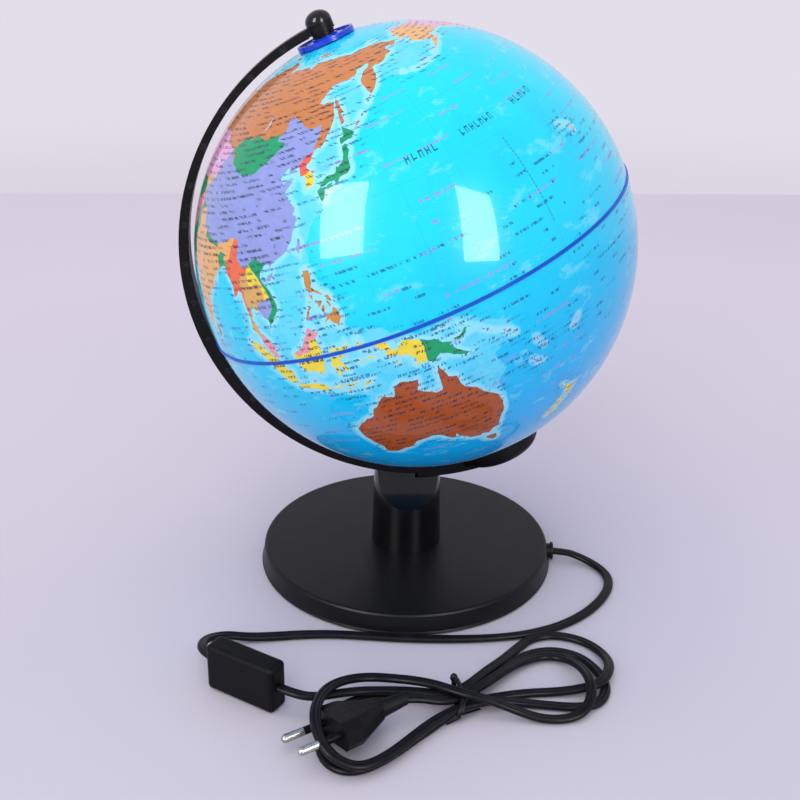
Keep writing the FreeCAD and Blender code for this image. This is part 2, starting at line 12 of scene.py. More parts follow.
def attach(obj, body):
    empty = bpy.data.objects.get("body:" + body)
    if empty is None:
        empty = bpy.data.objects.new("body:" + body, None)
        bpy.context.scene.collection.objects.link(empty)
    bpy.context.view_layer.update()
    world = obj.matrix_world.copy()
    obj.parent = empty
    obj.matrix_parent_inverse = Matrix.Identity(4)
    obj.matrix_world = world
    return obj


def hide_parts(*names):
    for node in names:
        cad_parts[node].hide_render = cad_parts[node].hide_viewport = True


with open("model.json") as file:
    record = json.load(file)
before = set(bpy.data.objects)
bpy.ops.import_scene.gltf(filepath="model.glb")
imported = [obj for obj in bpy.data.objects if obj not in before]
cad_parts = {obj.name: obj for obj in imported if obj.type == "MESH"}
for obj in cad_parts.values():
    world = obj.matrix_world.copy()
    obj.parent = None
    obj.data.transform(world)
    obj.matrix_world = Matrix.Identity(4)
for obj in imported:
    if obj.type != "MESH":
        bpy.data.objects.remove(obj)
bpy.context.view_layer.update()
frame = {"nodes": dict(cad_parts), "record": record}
NODES = frame["nodes"]
scene = bpy.context.scene
COLL = scene.collection
random.seed(7)

# ------------------------------------------------------------------ camera
PITCH, YAW, ROLL = 0.4077, 0.0548, 0.0152
cam_data = bpy.data.cameras.new("camera")
cam_data.sensor_width = 36.0
cam_data.lens = 52.995
cam_data.clip_start, cam_data.clip_end = 0.01, 20.0
cam = bpy.data.objects.new("camera", cam_data)
COLL.objects.link(cam)
fh = Vector((math.sin(YAW), math.cos(YAW), 0.0))
rt = Vector((math.cos(YAW), -math.sin(YAW), 0.0))
fw = fh * math.cos(PITCH) - Vector((0, 0, 1)) * math.sin(PITCH)
up = fh * math.sin(PITCH) + Vector((0, 0, 1)) * math.cos(PITCH)
cr, sr = math.cos(ROLL), math.sin(ROLL)
right, upc = rt * cr + up * sr, up * cr - rt * sr
cam.matrix_world = Matrix(((right.x, upc.x, -fw.x, -0.0376), (right.y, upc.y, -fw.y, -0.6000), (right.z, upc.z, -fw.z, 0.3585), (0, 0, 0, 1)))
scene.camera = cam


# ------------------------------------------------------------------ node helpers
def new_mat(name):
    m = bpy.data.materials.new(name)
    m.use_nodes = True
    nt = m.node_tree
    bsdf = nt.nodes["Principled BSDF"]
    return m, nt, bsdf


def node(nt, kind, **kw):
    n = nt.nodes.new(kind)
    for k, v in kw.items():
        if k in n.inputs:
            n.inputs[k].default_value = v
        else:
            setattr(n, k, v)
    return n


def math_n(nt, op, a, b=None, clamp=False):
    n = nt.nodes.new("ShaderNodeMath")
    n.operation = op
    n.use_clamp = clamp
    for i, v in enumerate((a, b)):
        if v is None:
            continue
        if isinstance(v, (int, float)):
            n.inputs[i].default_value = v
        else:
            nt.links.new(v, n.inputs[i])
    return n.outputs[0]


def ramp(nt, fac, stops):
    r = nt.nodes.new("ShaderNodeValToRGB")
    e = r.color_ramp.elements
    while len(e) > 1:
        e.remove(e[0])
    e[0].position, e[0].color = stops[0][0], tuple(stops[0][1]) + (1.0,)
    for p, c in stops[1:]:
        x = e.new(p)
        x.color = tuple(c) + (1.0,)
    nt.links.new(fac, r.inputs["Fac"])
    return r.outputs["Color"]


def noise(nt, coord, scale, detail=3.0, rough=0.55, out="Fac"):
    n = node(nt, "ShaderNodeTexNoise", Scale=scale, Detail=detail, Roughness=rough)
    nt.links.new(coord, n.inputs["Vector"])
    return n.outputs[out]


def plastic(name, dark, light, rough=(0.35, 0.5), scale=60.0, bump=0.05, bump_scale=900.0, metallic=0.0, coat=0.0, coat_rough=0.08, scratch=True, ior=1.46, spec=0.22):
    """Moulded surface: two close tones, a fine grain, uneven gloss and faint handling marks."""
    m, nt, b = new_mat(name)
    tc = nt.nodes.new("ShaderNodeTexCoord")
    co = tc.outputs["Object"]
    big = noise(nt, co, scale, 4.0)
    col = ramp(nt, big, [(0.3, dark), (0.7, light)])
    nt.links.new(col, b.inputs["Base Color"])
    mark = noise(nt, co, scale * 2.3, 6.0, 0.7)
    rr = nt.nodes.new("ShaderNodeMapRange")
    rr.inputs["From Min"].default_value, rr.inputs["From Max"].default_value = 0.3, 0.72
    rr.inputs["To Min"].default_value, rr.inputs["To Max"].default_value = rough
    nt.links.new(mark, rr.inputs["Value"])
    nt.links.new(rr.outputs["Result"], b.inputs["Roughness"])
    b.inputs["Metallic"].default_value = metallic
    b.inputs["IOR"].default_value = ior
    b.inputs["Specular IOR Level"].default_value = 0.5 if metallic else spec
    b.inputs["Coat Weight"].default_value = coat
    b.inputs["Coat Roughness"].default_value = coat_rough
    fine = noise(nt, co, bump_scale, 2.0)
    bp = node(nt, "ShaderNodeBump", Strength=bump, Distance=0.0004)
    nt.links.new(fine, bp.inputs["Height"])
    last = bp.outputs["Normal"]
    if scratch:
        st = nt.nodes.new("ShaderNodeMapping")
        st.inputs["Scale"].default_value = (40.0, 900.0, 300.0)
        st.inputs["Rotation"].default_value = (0.3, 0.5, 0.7)
        nt.links.new(co, st.inputs["Vector"])
        sn = noise(nt, st.outputs["Vector"], 1.0, 2.0)
        b2 = node(nt, "ShaderNodeBump", Strength=bump * 0.6, Distance=0.0002)
        nt.links.new(sn, b2.inputs["Height"])
        nt.links.new(last, b2.inputs["Normal"])
        last = b2.outputs["Normal"]
    nt.links.new(last, b.inputs["Normal"])
    return m


MAT = {
    "base_satin_black": plastic("base_satin_black", (0.0055, 0.0055, 0.0075), (0.008, 0.008, 0.0105), (0.34, 0.42), 30.0, 0.10, 2600.0, spec=0.17),
    "inner_black": plastic("inner_black", (0.02, 0.02, 0.022), (0.035, 0.035, 0.038), (0.5, 0.65), 80.0, 0.1),
    "foot_rubber": plastic("foot_rubber", (0.012, 0.012, 0.012), (0.028, 0.028, 0.028), (0.75, 0.9), 150.0, 0.5, 1800.0),
    "soft_black": plastic("soft_black", (0.003, 0.003, 0.0045), (0.006, 0.006, 0.008), (0.38, 0.5), 200.0, 0.08, 1600.0, scratch=False),
    "post_gloss_black": plastic("post_gloss_black", (0.0035, 0.0035, 0.0045), (0.006, 0.006, 0.008), (0.12, 0.22), 25.0, 0.02, 500.0, coat=0.30, coat_rough=0.08),
    "arm_black": plastic("arm_black", (0.004, 0.004, 0.0055), (0.0065, 0.0065, 0.0085), (0.3, 0.42), 45.0, 0.07, 1400.0, spec=0.15),
    "screw_steel": plastic("screw_steel", (0.42, 0.42, 0.44), (0.6, 0.6, 0.61), (0.25, 0.4), 400.0, 0.1, 3000.0, metallic=1.0),
    "contact_brass": plastic("contact_brass", (0.55, 0.38, 0.14), (0.78, 0.58, 0.26), (0.2, 0.35), 300.0, 0.08, 2500.0, metallic=1.0),
    "bulb_nickel": plastic("bulb_nickel", (0.55, 0.54, 0.52), (0.72, 0.71, 0.69), (0.12, 0.25), 300.0, 0.05, 2500.0, metallic=1.0),
    "pin_nickel": plastic("pin_nickel", (0.34, 0.335, 0.33), (0.52, 0.51, 0.50), (0.24, 0.36), 350.0, 0.06, 2500.0, metallic=1.0),
    "cord_black": plastic("cord_black", (0.004, 0.004, 0.006), (0.009, 0.009, 0.012), (0.3, 0.42), 160.0, 0.06, 1500.0, scratch=False, spec=0.16),
    "plug_black": plastic("plug_black", (0.003, 0.003, 0.0045), (0.006, 0.006, 0.008), (0.4, 0.52), 90.0, 0.2, 2600.0, spec=0.11),
    "ring_blue": plastic("ring_blue", (0.006, 0.075, 0.52), (0.010, 0.105, 0.62), (0.28, 0.38), 60.0, 0.03),
    "mark_grey": plastic("mark_grey", (0.022, 0.022, 0.026), (0.034, 0.034, 0.040), (0.32, 0.42), 90.0, 0.04),
}

# clear blue hour dial
m, nt, b = new_mat("dial_blue")
tc = nt.nodes.new("ShaderNodeTexCoord")
nt.links.new(ramp(nt, noise(nt, tc.outputs["Object"], 90.0), [(0.3, (0.004, 0.040, 0.58)), (0.7, (0.008, 0.075, 0.74))]), b.inputs["Base Color"])
b.inputs["Roughness"].default_value = 0.26
b.inputs["Transmission Weight"].default_value = 0.08
b.inputs["Specular IOR Level"].default_value = 0.25
b.inputs["Coat Weight"].default_value = 0.2
bp = node(nt, "ShaderNodeBump", Strength=0.05, Distance=0.0003)
nt.links.new(noise(nt, tc.outputs["Object"], 700.0), bp.inputs["Height"])
nt.links.new(bp.outputs["Normal"], b.inputs["Normal"])
MAT["dial_blue"] = m

m, nt, b = new_mat("bulb_glass")
tc = nt.nodes.new("ShaderNodeTexCoord")
nt.links.new(ramp(nt, noise(nt, tc.outputs["Object"], 50.0), [(0.3, (0.9, 0.92, 0.9)), (0.7, (0.97, 0.97, 0.95))]), b.inputs["Base Color"])
b.inputs["Roughness"].default_value = 0.04
b.inputs["Transmission Weight"].default_value = 0.9
MAT["bulb_glass"] = m

MAT["dial_ink"] = plastic("dial_ink", (0.004, 0.012, 0.09), (0.008, 0.02, 0.14), (0.3, 0.4), 200.0, 0.02)

slot_of = {s["node"]: s["material_slot"] for s in frame["record"]["subparts"]}
for n, o in NODES.items():
    mt = MAT.get(slot_of.get(n), MAT["inner_black"])
    if not o.data.materials:
        o.data.materials.append(mt)
    for i in range(len(o.material_slots)):
        o.material_slots[i].material = mt


def shade_by_angle(o, deg=35.0):
    for p in o.data.polygons:
        p.use_smooth = True
    o.data.set_sharp_from_angle(angle=math.radians(deg))


def soften(name, width, deg=30.0, segs=2):
    o = NODES[name]
    bv = o.modifiers.new("soft_edge", "BEVEL")
    bv.width, bv.segments, bv.limit_method, bv.angle_limit = width, segs, "ANGLE", math.radians(deg)
    bv.harden_normals = False
    wn = o.modifiers.new("wn", "WEIGHTED_NORMAL")
    wn.keep_sharp = True


def mesh_obj(name, verts, faces, mat, body, smooth=True):
    me = bpy.data.meshes.new(name)
    me.from_pydata([tuple(v) for v in verts], [], faces)
    me.validate()
    me.update()
    o = bpy.data.objects.new(name, me)
    COLL.objects.link(o)
    me.materials.append(mat)
    if smooth:
        for p in me.polygons:
            p.use_smooth = True
    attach(o, body)
    return o


# ------------------------------------------------------------------ cords
def nurbs_line(name, pts_mm):
    cu = bpy.data.curves.new(name, "CURVE")
    cu.dimensions = "3D"
    cu.resolution_u = 10
    sp = cu.splines.new("NURBS")
    sp.points.add(len(pts_mm) - 1)
    for p, c in zip(sp.points, pts_mm):
        p.co = (c[0] / 1000.0, c[1] / 1000.0, c[2] / 1000.0, 1.0)
    sp.order_u = 3
    sp.use_endpoint_u = True
    o = bpy.data.objects.new(name, cu)
    COLL.objects.link(o)
    bpy.context.view_layer.update()
    me = bpy.data.meshes.new_from_object(o)
    path = [v.co.copy() for v in me.vertices]
    bpy.data.objects.remove(o)
    bpy.data.curves.remove(cu)
    bpy.data.meshes.remove(me)
    return path


def twin_profile(half_gap, r, n=9):
    """Outline of a two-core flat lead: two round cores side by side with a shallow groove between them."""
    out = []
    a0 = math.acos(min(1.0, half_gap / r))
    for side in (1, -1):
        for i in range(n):
            a = -math.pi + a0 + (2 * math.pi - 2 * a0) * i / (n - 1)
            if side > 0:
                out.append((half_gap + r * math.cos(a), r * math.sin(a)))
            else:
                out.append((-half_gap - r * math.cos(a), -r * math.sin(a)))
    return out


def flat_tube(name, path, prof, tilt, body):
    verts, faces = [], []
    n, k = len(path), len(prof)
    s = 0.0
    ref = Vector((0, 0, 1))
    for i, p in enumerate(path):
        t = (path[min(i + 1, n - 1)] - path[max(i - 1, 0)]).normalized()
        if i:
            s += (p - path[i - 1]).length
        upv = (ref - t * ref.dot(t)).normalized()
        side = t.cross(upv).normalized()
        a = tilt(s)
        for u, v in prof:
            x, y = u * math.cos(a) - v * math.sin(a), u * math.sin(a) + v * math.cos(a)
            verts.append(p + side * x + upv * y)
    for i in range(n - 1):
        for j in range(k):
            a, b2 = i * k + j, i * k + (j + 1) % k
            faces.append((a, b2, b2 + k, a + k))
    faces.append(tuple(range(k))[::-1])
    faces.append(tuple((n - 1) * k + j for j in range(k)))
    o = mesh_obj(name, verts, faces, MAT["cord_black"], body)
    shade_by_angle(o, 60)
    return o


CORD1 = [(77.2, -6.8, 5.6), (92.1, -8.1, 5.6), (101.5, -12.0, 3.6), (109.5, -19.5, 2.2), (113.6, -29.5, 1.95), (112.2, -41.0, 1.95), (106.2, -52.6, 1.95), (97.6, -63.6, 1.95),
         (86.6, -73.4, 1.95), (73.6, -81.0, 1.95), (59.0, -86.0, 1.95), (43.6, -88.6, 1.95), (27.0, -89.4, 1.95), (9.5, -88.9, 1.95), (-8.0, -87.6, 1.95), (-25.0, -85.2, 1.95),
         (-42.0, -83.0, 1.95), (-59.0, -82.9, 1.95), (-73.0, -84.4, 2.1), (-86.5, -86.0, 3.0), (-98.6, -86.8, 5.4), (-108.3, -97.7, 10.0), (-106.5, -112.2, 12.5), (-94.7, -120.3, 12.5)]
CORD2 = [(-71.6, -138.6, 12.5), (-61.3, -145.7, 12.5), (-51.2, -147.0, 10.8), (-40.4, -141.2, 8.4), (-30.0, -137.2, 6.6), (-18.0, -136.6, 6.1), (-6.0, -137.4, 6.2), (6.0, -139.8, 6.4),
         (14.9, -140.5, 6.6), (23.5, -134.0, 6.4), (33.7, -121.3, 5.2), (43.1, -110.7, 3.6), (51.1, -99.9, 2.2), (59.1, -90.8, 1.95), (68.1, -87.4, 1.95), (76.6, -88.0, 1.95),
         (84.9, -91.4, 1.95), (91.3, -97.2, 2.0), (95.4, -105.7, 2.6), (96.3, -115.1, 4.2), (94.2, -123.5, 5.4), (90.0, -131.0, 5.7), (85.5, -134.5, 5.5), (80.0, -135.4, 4.6),
         (73.0, -135.2, 3.0), (63.7, -134.9, 2.0), (52.4, -135.2, 1.95), (41.5, -136.9, 2.0), (31.6, -139.6, 2.4), (22.5, -143.6, 2.6), (14.0, -149.4, 2.4), (5.1, -158.0, 2.0),
         (-4.2, -166.5, 1.95), (-12.3, -174.6, 1.95), (-20.6, -181.6, 1.95), (-29.2, -186.8, 1.95), (-36.9, -187.6, 1.95), (-43.6, -183.4, 1.95), (-47.4, -175.6, 1.95),
         (-47.8, -167.0, 1.95), (-46.0, -159.0, 1.95), (-42.6, -150.0, 1.95), (-37.5, -142.0, 1.95), (-30.0, -137.4, 1.95), (-20.0, -135.4, 1.95), (-8.0, -136.0, 1.95),
         (4.0, -137.8, 2.0), (14.0, -138.0, 2.4), (23.5, -134.6, 2.7), (32.9, -127.0, 3.0), (42.2, -116.8, 2.6), (51.0, -107.8, 2.0), (60.2, -102.3, 1.95), (69.4, -101.0, 1.95),
         (77.6, -103.2, 1.95), (84.2, -108.2, 1.95), (88.6, -116.0, 1.95), (91.0, -124.1, 1.95), (91.3, -131.4, 1.95), (89.0, -139.0, 1.95), (84.7, -144.2, 1.95), (79.0, -146.4, 1.95),
         (71.7, -146.6, 1.95), (62.0, -145.2, 1.95), (51.3, -143.4, 2.2), (40.8, -143.2, 3.6), (31.3, -144.4, 5.0), (21.0, -148.2, 5.6), (11.4, -153.9, 5.5), (3.7, -160.2, 5.5),
         (-3.8, -167.8, 5.4), (-11.3, -176.1, 5.4), (-18.4, -182.9, 5.4), (-25.3, -187.8, 5.6), (-32.1, -190.2, 6.4), (-39.0, -189.0, 8.6), (-44.6, -185.6, 11.8), (-48.2, -180.0, 14.8),
         (-50.3, -170.6, 16.5), (-49.9, -158.5, 15.6), (-46.0, -145.2, 13.8), (-39.3, -135.6, 11.0), (-31.2, -129.9, 8.8), (-22.5, -127.6, 7.4), (-13.4, -128.9, 7.4),
         (-2.9, -132.5, 8.6), (5.3, -137.4, 10.2), (12.4, -142.6, 11.2), (19.8, -147.0, 11.4), (29.2, -149.4, 10.2), (36.6, -151.0, 8.0), (44.8, -152.2, 4.8), (52.8, -154.1, 2.6),
         (59.7, -155.3, 2.0), (66.3, -155.2, 1.95), (71.8, -154.2, 2.4), (76.5, -151.8, 3.8), (80.1, -147.4, 5.6), (81.9, -141.7, 7.8), (82.2, -134.1, 9.0), (81.1, -124.8, 7.6),
         (78.5, -115.4, 5.0), (73.9, -109.2, 3.2), (67.3, -106.6, 2.8), (59.4, -108.2, 3.0), (50.3, -114.2, 4.2), (41.4, -123.2, 6.0), (32.2, -132.9, 6.8), (25.5, -138.4, 7.0),
         (19.5, -143.0, 7.3), (13.8, -147.2, 8.0), (6.6, -149.6, 9.6), (-1.4, -149.8, 11.6), (-8.4, -151.6, 12.7)]
PROFILE = twin_profile(0.00098, 0.00162)
path1 = nurbs_line("lead_line_a", CORD1)
path2 = nurbs_line("lead_line_b", CORD2)
lead_a = flat_tube("mains_lead_base_to_switch", path1, PROFILE, lambda s: 0.16 * math.sin(s * 31.0) + 0.10 * math.sin(s * 73.0 + 1.0), "stand")
lead_b = flat_tube("mains_lead_switch_to_plug", path2, PROFILE, lambda s: 0.10 * math.sin(s * 37.0), "stand")
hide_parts("mains_lead_a")
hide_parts("mains_lead_b", "mains_lead_c", "cord_hank")


def length(path):
    return sum((path[i + 1] - path[i]).length for i in range(len(path) - 1))

# ------------------------------------------------------------------ printed map
BALL_C = Vector((0.0023, 0.0, 0.1858))
BALL_R = 0.115
TILT = math.radians(23.5)
LON0 = 234.3                     # longitude that faces the ball's local +X
AXIS = Vector((-math.sin(TILT), 0.0, math.cos(TILT)))
EX = Vector((math.cos(TILT), 0.0, math.sin(TILT)))
EY = Vector((0.0, 1.0, 0.0))
W, E = -27.0, 333.0              # the sheet is cut along 27 west


def on_ball(lon, lat, r=BALL_R):
    a, b2 = math.radians(lon - LON0), math.radians(lat)
    return BALL_C + (EX * math.cos(a) + EY * math.sin(a)) * (r * math.cos(b2)) + AXIS * (r * math.sin(b2))


def P(text):
    v = [float(x) for x in text.replace(",", " ").split()]
    return list(zip(v[0::2], v[1::2]))


C = {
    "orange": (0.62, 0.23, 0.070), "lilac": (0.29, 0.36, 0.74), "green": (0.008, 0.36, 0.15), "pink": (0.82, 0.40, 0.68), "red": (0.86, 0.14, 0.10), "yellow": (0.90, 0.72, 0.06),
    "redorange": (0.88, 0.17, 0.07), "tan": (0.72, 0.42, 0.13), "lightorange": (0.86, 0.46, 0.14), "brown": (0.42, 0.090, 0.020), "rose": (0.82, 0.33, 0.38), "phil": (0.62, 0.27, 0.05),
    "white": (0.75, 0.80, 0.88), "leaf": (0.30, 0.60, 0.14),
}
LAND = [
    # Europe and Asia
    ("orange", P("""190.2,66.1 186.8,64.4 181.2,65.4 178.5,64.6 179.3,62.4 174.5,61.7 170.3,60.0 166.0,60.2 164.4,59.9 163.2,57.9 162.9,56.3 161.8,54.9 160.0,53.2 158.5,52.0 156.7,50.9
    155.9,52.2 155.5,54.5 155.6,56.8 157.0,57.8 159.8,60.0 162.0,60.4 163.7,61.6 164.6,62.5 160.4,61.8 157.2,61.6 154.7,59.6 151.5,59.2 148.7,59.4 145.5,59.4 142.7,59.3 140.4,57.8 138.0,56.2
    135.5,54.8 137.3,53.9 139.2,54.2 141.4,53.2 140.7,51.5 140.5,49.6 139.5,48.0 137.7,46.0 135.5,44.2 133.1,42.7 131.0,42.6 129.7,41.4 129.7,40.9 127.6,39.8 127.5,39.3 128.4,38.6 129.4,37.1
    129.5,35.9 129.1,35.1 127.5,34.7 126.4,34.5 126.5,35.7 126.6,36.8 126.7,37.6 125.2,37.8 125.0,38.6 125.2,39.6 124.3,40.0 121.4,38.9 121.9,40.5 120.8,40.4 119.0,39.2 117.8,38.8 118.4,38.1
    119.0,37.3 120.8,37.8 122.5,37.3 120.4,36.1 119.3,35.0 120.3,34.1 120.9,32.6 121.9,31.7 121.9,30.9 120.8,30.3 122.0,29.8 121.6,28.4 120.4,27.1 119.6,25.6 118.2,24.4 116.6,23.2 114.3,22.4
    113.4,22.2 111.8,21.6 110.4,21.1 110.2,20.3 109.8,21.5 108.3,21.6 106.7,20.5 105.7,19.1 106.5,17.8 108.2,16.1 109.2,13.6 109.2,11.8 107.2,10.4 106.6,9.6 105.0,8.7 104.9,10.1 103.6,10.6
    102.5,12.2 101.0,12.7 100.9,13.4 100.0,13.3 99.9,11.8 99.2,10.2 100.0,9.2 100.5,7.3 102.1,6.2 103.4,4.5 103.5,2.6 104.2,1.4 103.4,1.4 101.4,2.8 100.6,4.3 100.2,6.3 99.0,7.8 98.3,8.2 98.6,10.0
    98.6,12.0 97.8,14.6 97.6,16.4 96.4,17.0 95.4,15.8 94.3,16.0 94.5,17.6 93.8,19.2 92.6,20.7 91.8,22.4 90.5,22.6 89.0,21.8 87.0,21.4 86.8,20.4 85.1,19.5 82.3,16.7 80.3,15.6 80.3,13.3 79.8,11.2
    79.3,10.2 78.2,8.9 77.5,8.1 76.4,9.7 75.0,12.4 73.8,15.7 72.8,19.0 72.7,21.2 72.3,21.4 71.0,20.8 69.0,22.3 70.2,22.9 68.2,23.7 66.7,24.9 61.6,25.2 57.3,25.8 56.5,27.1 53.6,26.7 51.2,28.0
    50.1,30.2 48.4,30.1 47.9,29.6 48.6,28.2 50.2,26.6 50.8,25.0 51.5,25.9 51.6,24.2 54.0,24.2 56.1,26.2 56.6,24.5 58.7,23.6 59.8,22.5 57.8,19.0 55.2,17.4 52.2,15.8 48.7,14.0 45.0,12.8 43.4,12.7
    42.7,15.7 41.5,18.0 39.1,21.3 37.2,24.8 35.2,28.0 34.9,29.5 34.4,27.9 32.6,29.9 32.3,31.2 34.3,31.3 35.0,33.0 35.9,35.6 36.1,36.8 34.5,36.7 32.5,36.1 30.5,36.4 28.2,36.6 26.3,38.2 26.2,39.6
    27.0,40.4 26.0,40.7 23.8,40.4 22.8,39.5 24.0,38.0 22.9,36.5 21.4,37.2 20.0,39.6 19.4,41.6 15.2,44.2 13.6,45.6 12.3,45.3 13.6,43.5 16.0,41.9 18.4,40.2 16.9,40.5 17.1,39.0 15.8,38.0 15.0,40.0
    12.3,41.7 10.3,43.6 8.8,44.4 6.5,43.2 3.2,43.2 3.2,41.9 0.3,40.4 -0.5,38.0 -2.1,36.7 -5.5,36.0 -6.4,36.8 -9.0,37.0 -9.4,38.7 -8.8,41.2 -9.2,43.1 -3.8,43.5 -1.5,43.6 -1.2,45.8 -4.6,48.3
    -1.6,48.6 -1.4,49.7 1.6,50.8 4.2,52.2 5.4,53.4 8.6,53.8 8.2,56.8 10.6,57.7 10.2,55.6 11.0,54.0 14.2,54.0 18.6,54.6 21.0,55.6 21.6,57.6 24.3,57.5 23.5,59.3 28.0,59.6 30.0,60.0 25.0,60.2
    22.5,60.0 21.3,62.5 25.3,65.0 22.2,65.7 17.5,62.0 18.8,60.0 16.5,57.0 14.3,55.5 12.9,56.0 11.2,59.0 8.0,58.1 5.4,59.0 5.0,61.8 9.6,63.8 14.0,67.5 19.5,70.0 25.6,71.1 31.0,70.3 41.0,67.6
    40.5,66.4 34.0,66.7 37.0,64.0 40.5,64.6 44.0,66.0 43.5,68.5 46.0,67.0 54.0,68.6 60.5,69.6 61.0,68.8 68.5,68.4 67.0,70.0 68.5,73.0 73.0,71.5 72.5,68.0 74.5,72.8 80.5,73.5 87.0,75.1 98.0,76.2
    104.2,77.7 112.5,76.2 106.0,73.2 113.5,73.6 123.0,73.0 127.0,72.5 129.5,71.0 140.0,72.5 150.5,71.5 160.0,69.7 170.5,69.9 176.0,69.7 180.5,68.9 186.0,67.0""")),
    # Africa
    ("lightorange", P("""32.5,29.9 34.0,26.5 35.7,23.5 37.3,20.8 38.6,18.0 41.2,14.6 43.3,11.5 45.0,10.6 51.2,11.9 49.0,6.2 46.0,2.4 41.6,-1.8 39.3,-5.0 40.5,-10.6 40.7,-15.0 35.0,-20.0 35.5,-24.1
    32.8,-26.5 31.0,-30.0 27.0,-33.7 20.0,-34.8 18.3,-33.8 17.5,-30.0 15.0,-26.5 14.4,-22.5 11.8,-17.5 13.7,-12.0 12.2,-6.0 9.0,-1.0 9.6,3.8 8.5,4.6 4.5,6.3 1.0,5.9 -4.0,5.2 -7.7,4.4 -11.5,6.9
    -13.3,9.5 -16.7,12.4 -17.4,14.7 -16.2,19.0 -17.0,21.2 -14.5,26.0 -10.0,29.6 -9.7,31.4 -6.8,34.0 -5.6,35.9 -2.0,35.1 3.0,36.9 9.8,37.3 10.9,35.0 10.2,34.0 15.2,32.3 19.0,30.3 21.6,32.8
    25.0,31.6 29.0,30.9 32.3,31.3""")),
    ("rose", P("49.2,-12.1 50.4,-15.9 47.1,-25.0 44.0,-25.0 43.4,-22.0 44.4,-16.3 47.8,-14.6")),
    ("pink", P("-5.5,50.1 1.3,51.2 1.6,52.8 -0.2,54.3 -2.0,57.6 -5.0,58.6 -5.7,56.5 -3.2,54.9 -4.5,53.2 -5.0,51.7 -3.2,51.4")),
    ("green", P("-6.1,53.5 -6.3,52.2 -10.0,51.6 -9.8,54.2 -7.3,55.3 -5.6,54.6")),
    ("yellow", P("-22.5,63.9 -18.6,63.4 -13.7,64.8 -16.0,66.5 -22.3,66.3 -23.8,65.2")),
    ("lilac", P("15.0,76.8 24.0,78.3 20.0,80.3 11.0,79.6")), ("orange", P("52.0,71.0 57.0,70.7 56.0,73.2 68.0,76.8 60.0,76.2 54.0,73.5")),
    ("orange", P("96.0,79.0 104.0,79.2 98.0,80.8 93.0,80.0")), ("orange", P("138.0,75.0 143.0,74.9 149.0,75.1 145.0,76.0 139.0,76.1")), ("orange", P("180.0,70.9 182.5,71.2 180.5,71.6 178.8,71.2")),
    ("orange", P("142.0,46.0 143.5,46.8 143.0,49.2 144.5,49.0 143.3,52.5 142.7,54.3 142.0,53.3 142.1,50.0 141.9,48.0")),
    # Japan and the islands to its north
    ("green", P("140.2,41.5 141.2,41.9 143.2,42.0 145.4,43.3 144.2,44.1 141.9,45.5 141.6,43.3 140.3,43.2 139.9,42.3")),
    ("green", P("140.3,41.1 141.4,41.4 142.0,39.6 141.0,38.2 140.9,36.8 140.8,35.7 139.8,34.9 138.8,34.7 137.2,34.6 136.8,34.3 135.8,33.5 135.2,34.4 133.0,34.2 131.0,33.9 130.9,34.4 132.7,35.5 135.2,35.7 136.1,35.8 136.8,37.3 137.2,36.8 138.6,37.4 139.8,38.9 140.0,40.5")),
    ("green", P("131.0,33.9 131.9,33.2 131.4,31.4 130.7,31.0 130.2,31.3 129.8,32.8 129.7,33.4 130.4,33.7")), ("green", P("132.4,33.4 132.9,32.8 134.2,33.3 134.6,34.2 133.2,34.0")),
    ("orange", P("145.8,43.9 147.0,44.4 148.4,45.3 148.0,45.5 146.6,44.7")), ("orange", P("149.6,46.0 150.6,46.7 150.2,46.9 149.4,46.3")), ("orange", P("153.8,48.8 154.6,49.4 154.2,49.7 153.5,49.1")), ("orange", P("155.4,50.1 156.2,50.8 155.8,51.0 155.1,50.4")),
    ("lilac", P("121.5,25.3 121.8,24.5 120.9,22.0 120.1,23.2")), ("lilac", P("110.9,20.0 110.5,18.7 109.2,18.3 108.7,19.2")),
    # Philippines
    ("phil", P("120.6,18.5 122.2,18.4 122.2,16.5 121.6,14.9 123.0,13.9 124.1,12.8 123.2,13.1 121.8,13.9 120.6,13.9 120.1,15.5 120.3,16.4")), ("phil", P("120.4,13.4 121.3,13.3 121.2,12.3 120.8,12.6")),
    ("phil", P("122.0,11.9 123.1,11.6 122.6,10.7 121.9,10.5")), ("phil", P("123.4,10.9 123.3,9.6 122.9,9.1 122.4,9.6 122.8,10.5")), ("phil", P("123.6,9.6 124.1,11.2 123.9,10.2")),
    ("phil", P("124.3,12.6 125.3,12.5 125.7,11.1 124.8,11.4")), ("phil", P("124.4,11.4 125.0,11.1 125.2,10.2 124.7,10.1")),
    ("phil", P("122.0,7.0 123.7,7.6 124.0,6.8 125.4,5.6 126.5,7.3 126.2,9.3 125.4,9.8 124.7,8.6 123.4,8.6")), ("phil", P("117.2,8.4 118.4,9.2 119.6,10.6 119.3,11.2 118.0,9.6")), ("phil", P("119.9,12.3 120.3,12.0 120.0,11.7 119.8,12.0")),
    # Indonesia, Malaysia and New Guinea
    ("yellow", P("109.0,1.6 109.6,2.0 111.3,2.5 113.0,3.2 115.0,5.2 116.7,7.0 119.2,5.3 117.7,4.0 118.0,2.2 117.9,0.9 117.4,-1.0 116.4,-3.0 116.0,-4.0 114.6,-4.1 113.0,-3.2 111.7,-3.3 110.2,-2.7 109.1,-0.5")),
    ("yellow", P("95.3,5.6 97.5,5.2 100.4,2.8 103.6,0.0 104.5,-1.9 106.0,-3.0 105.8,-5.8 104.6,-5.8 102.2,-3.9 100.3,-1.0 98.7,1.6 96.5,3.7")),
    ("yellow", P("105.3,-6.7 106.7,-6.0 108.5,-6.7 110.8,-6.4 112.7,-6.9 114.5,-7.8 114.4,-8.7 110.5,-8.1 107.0,-7.5")), ("yellow", P("114.6,-8.2 115.6,-8.2 115.3,-8.7")), ("yellow", P("116.0,-8.4 116.7,-8.4 116.4,-8.9")),
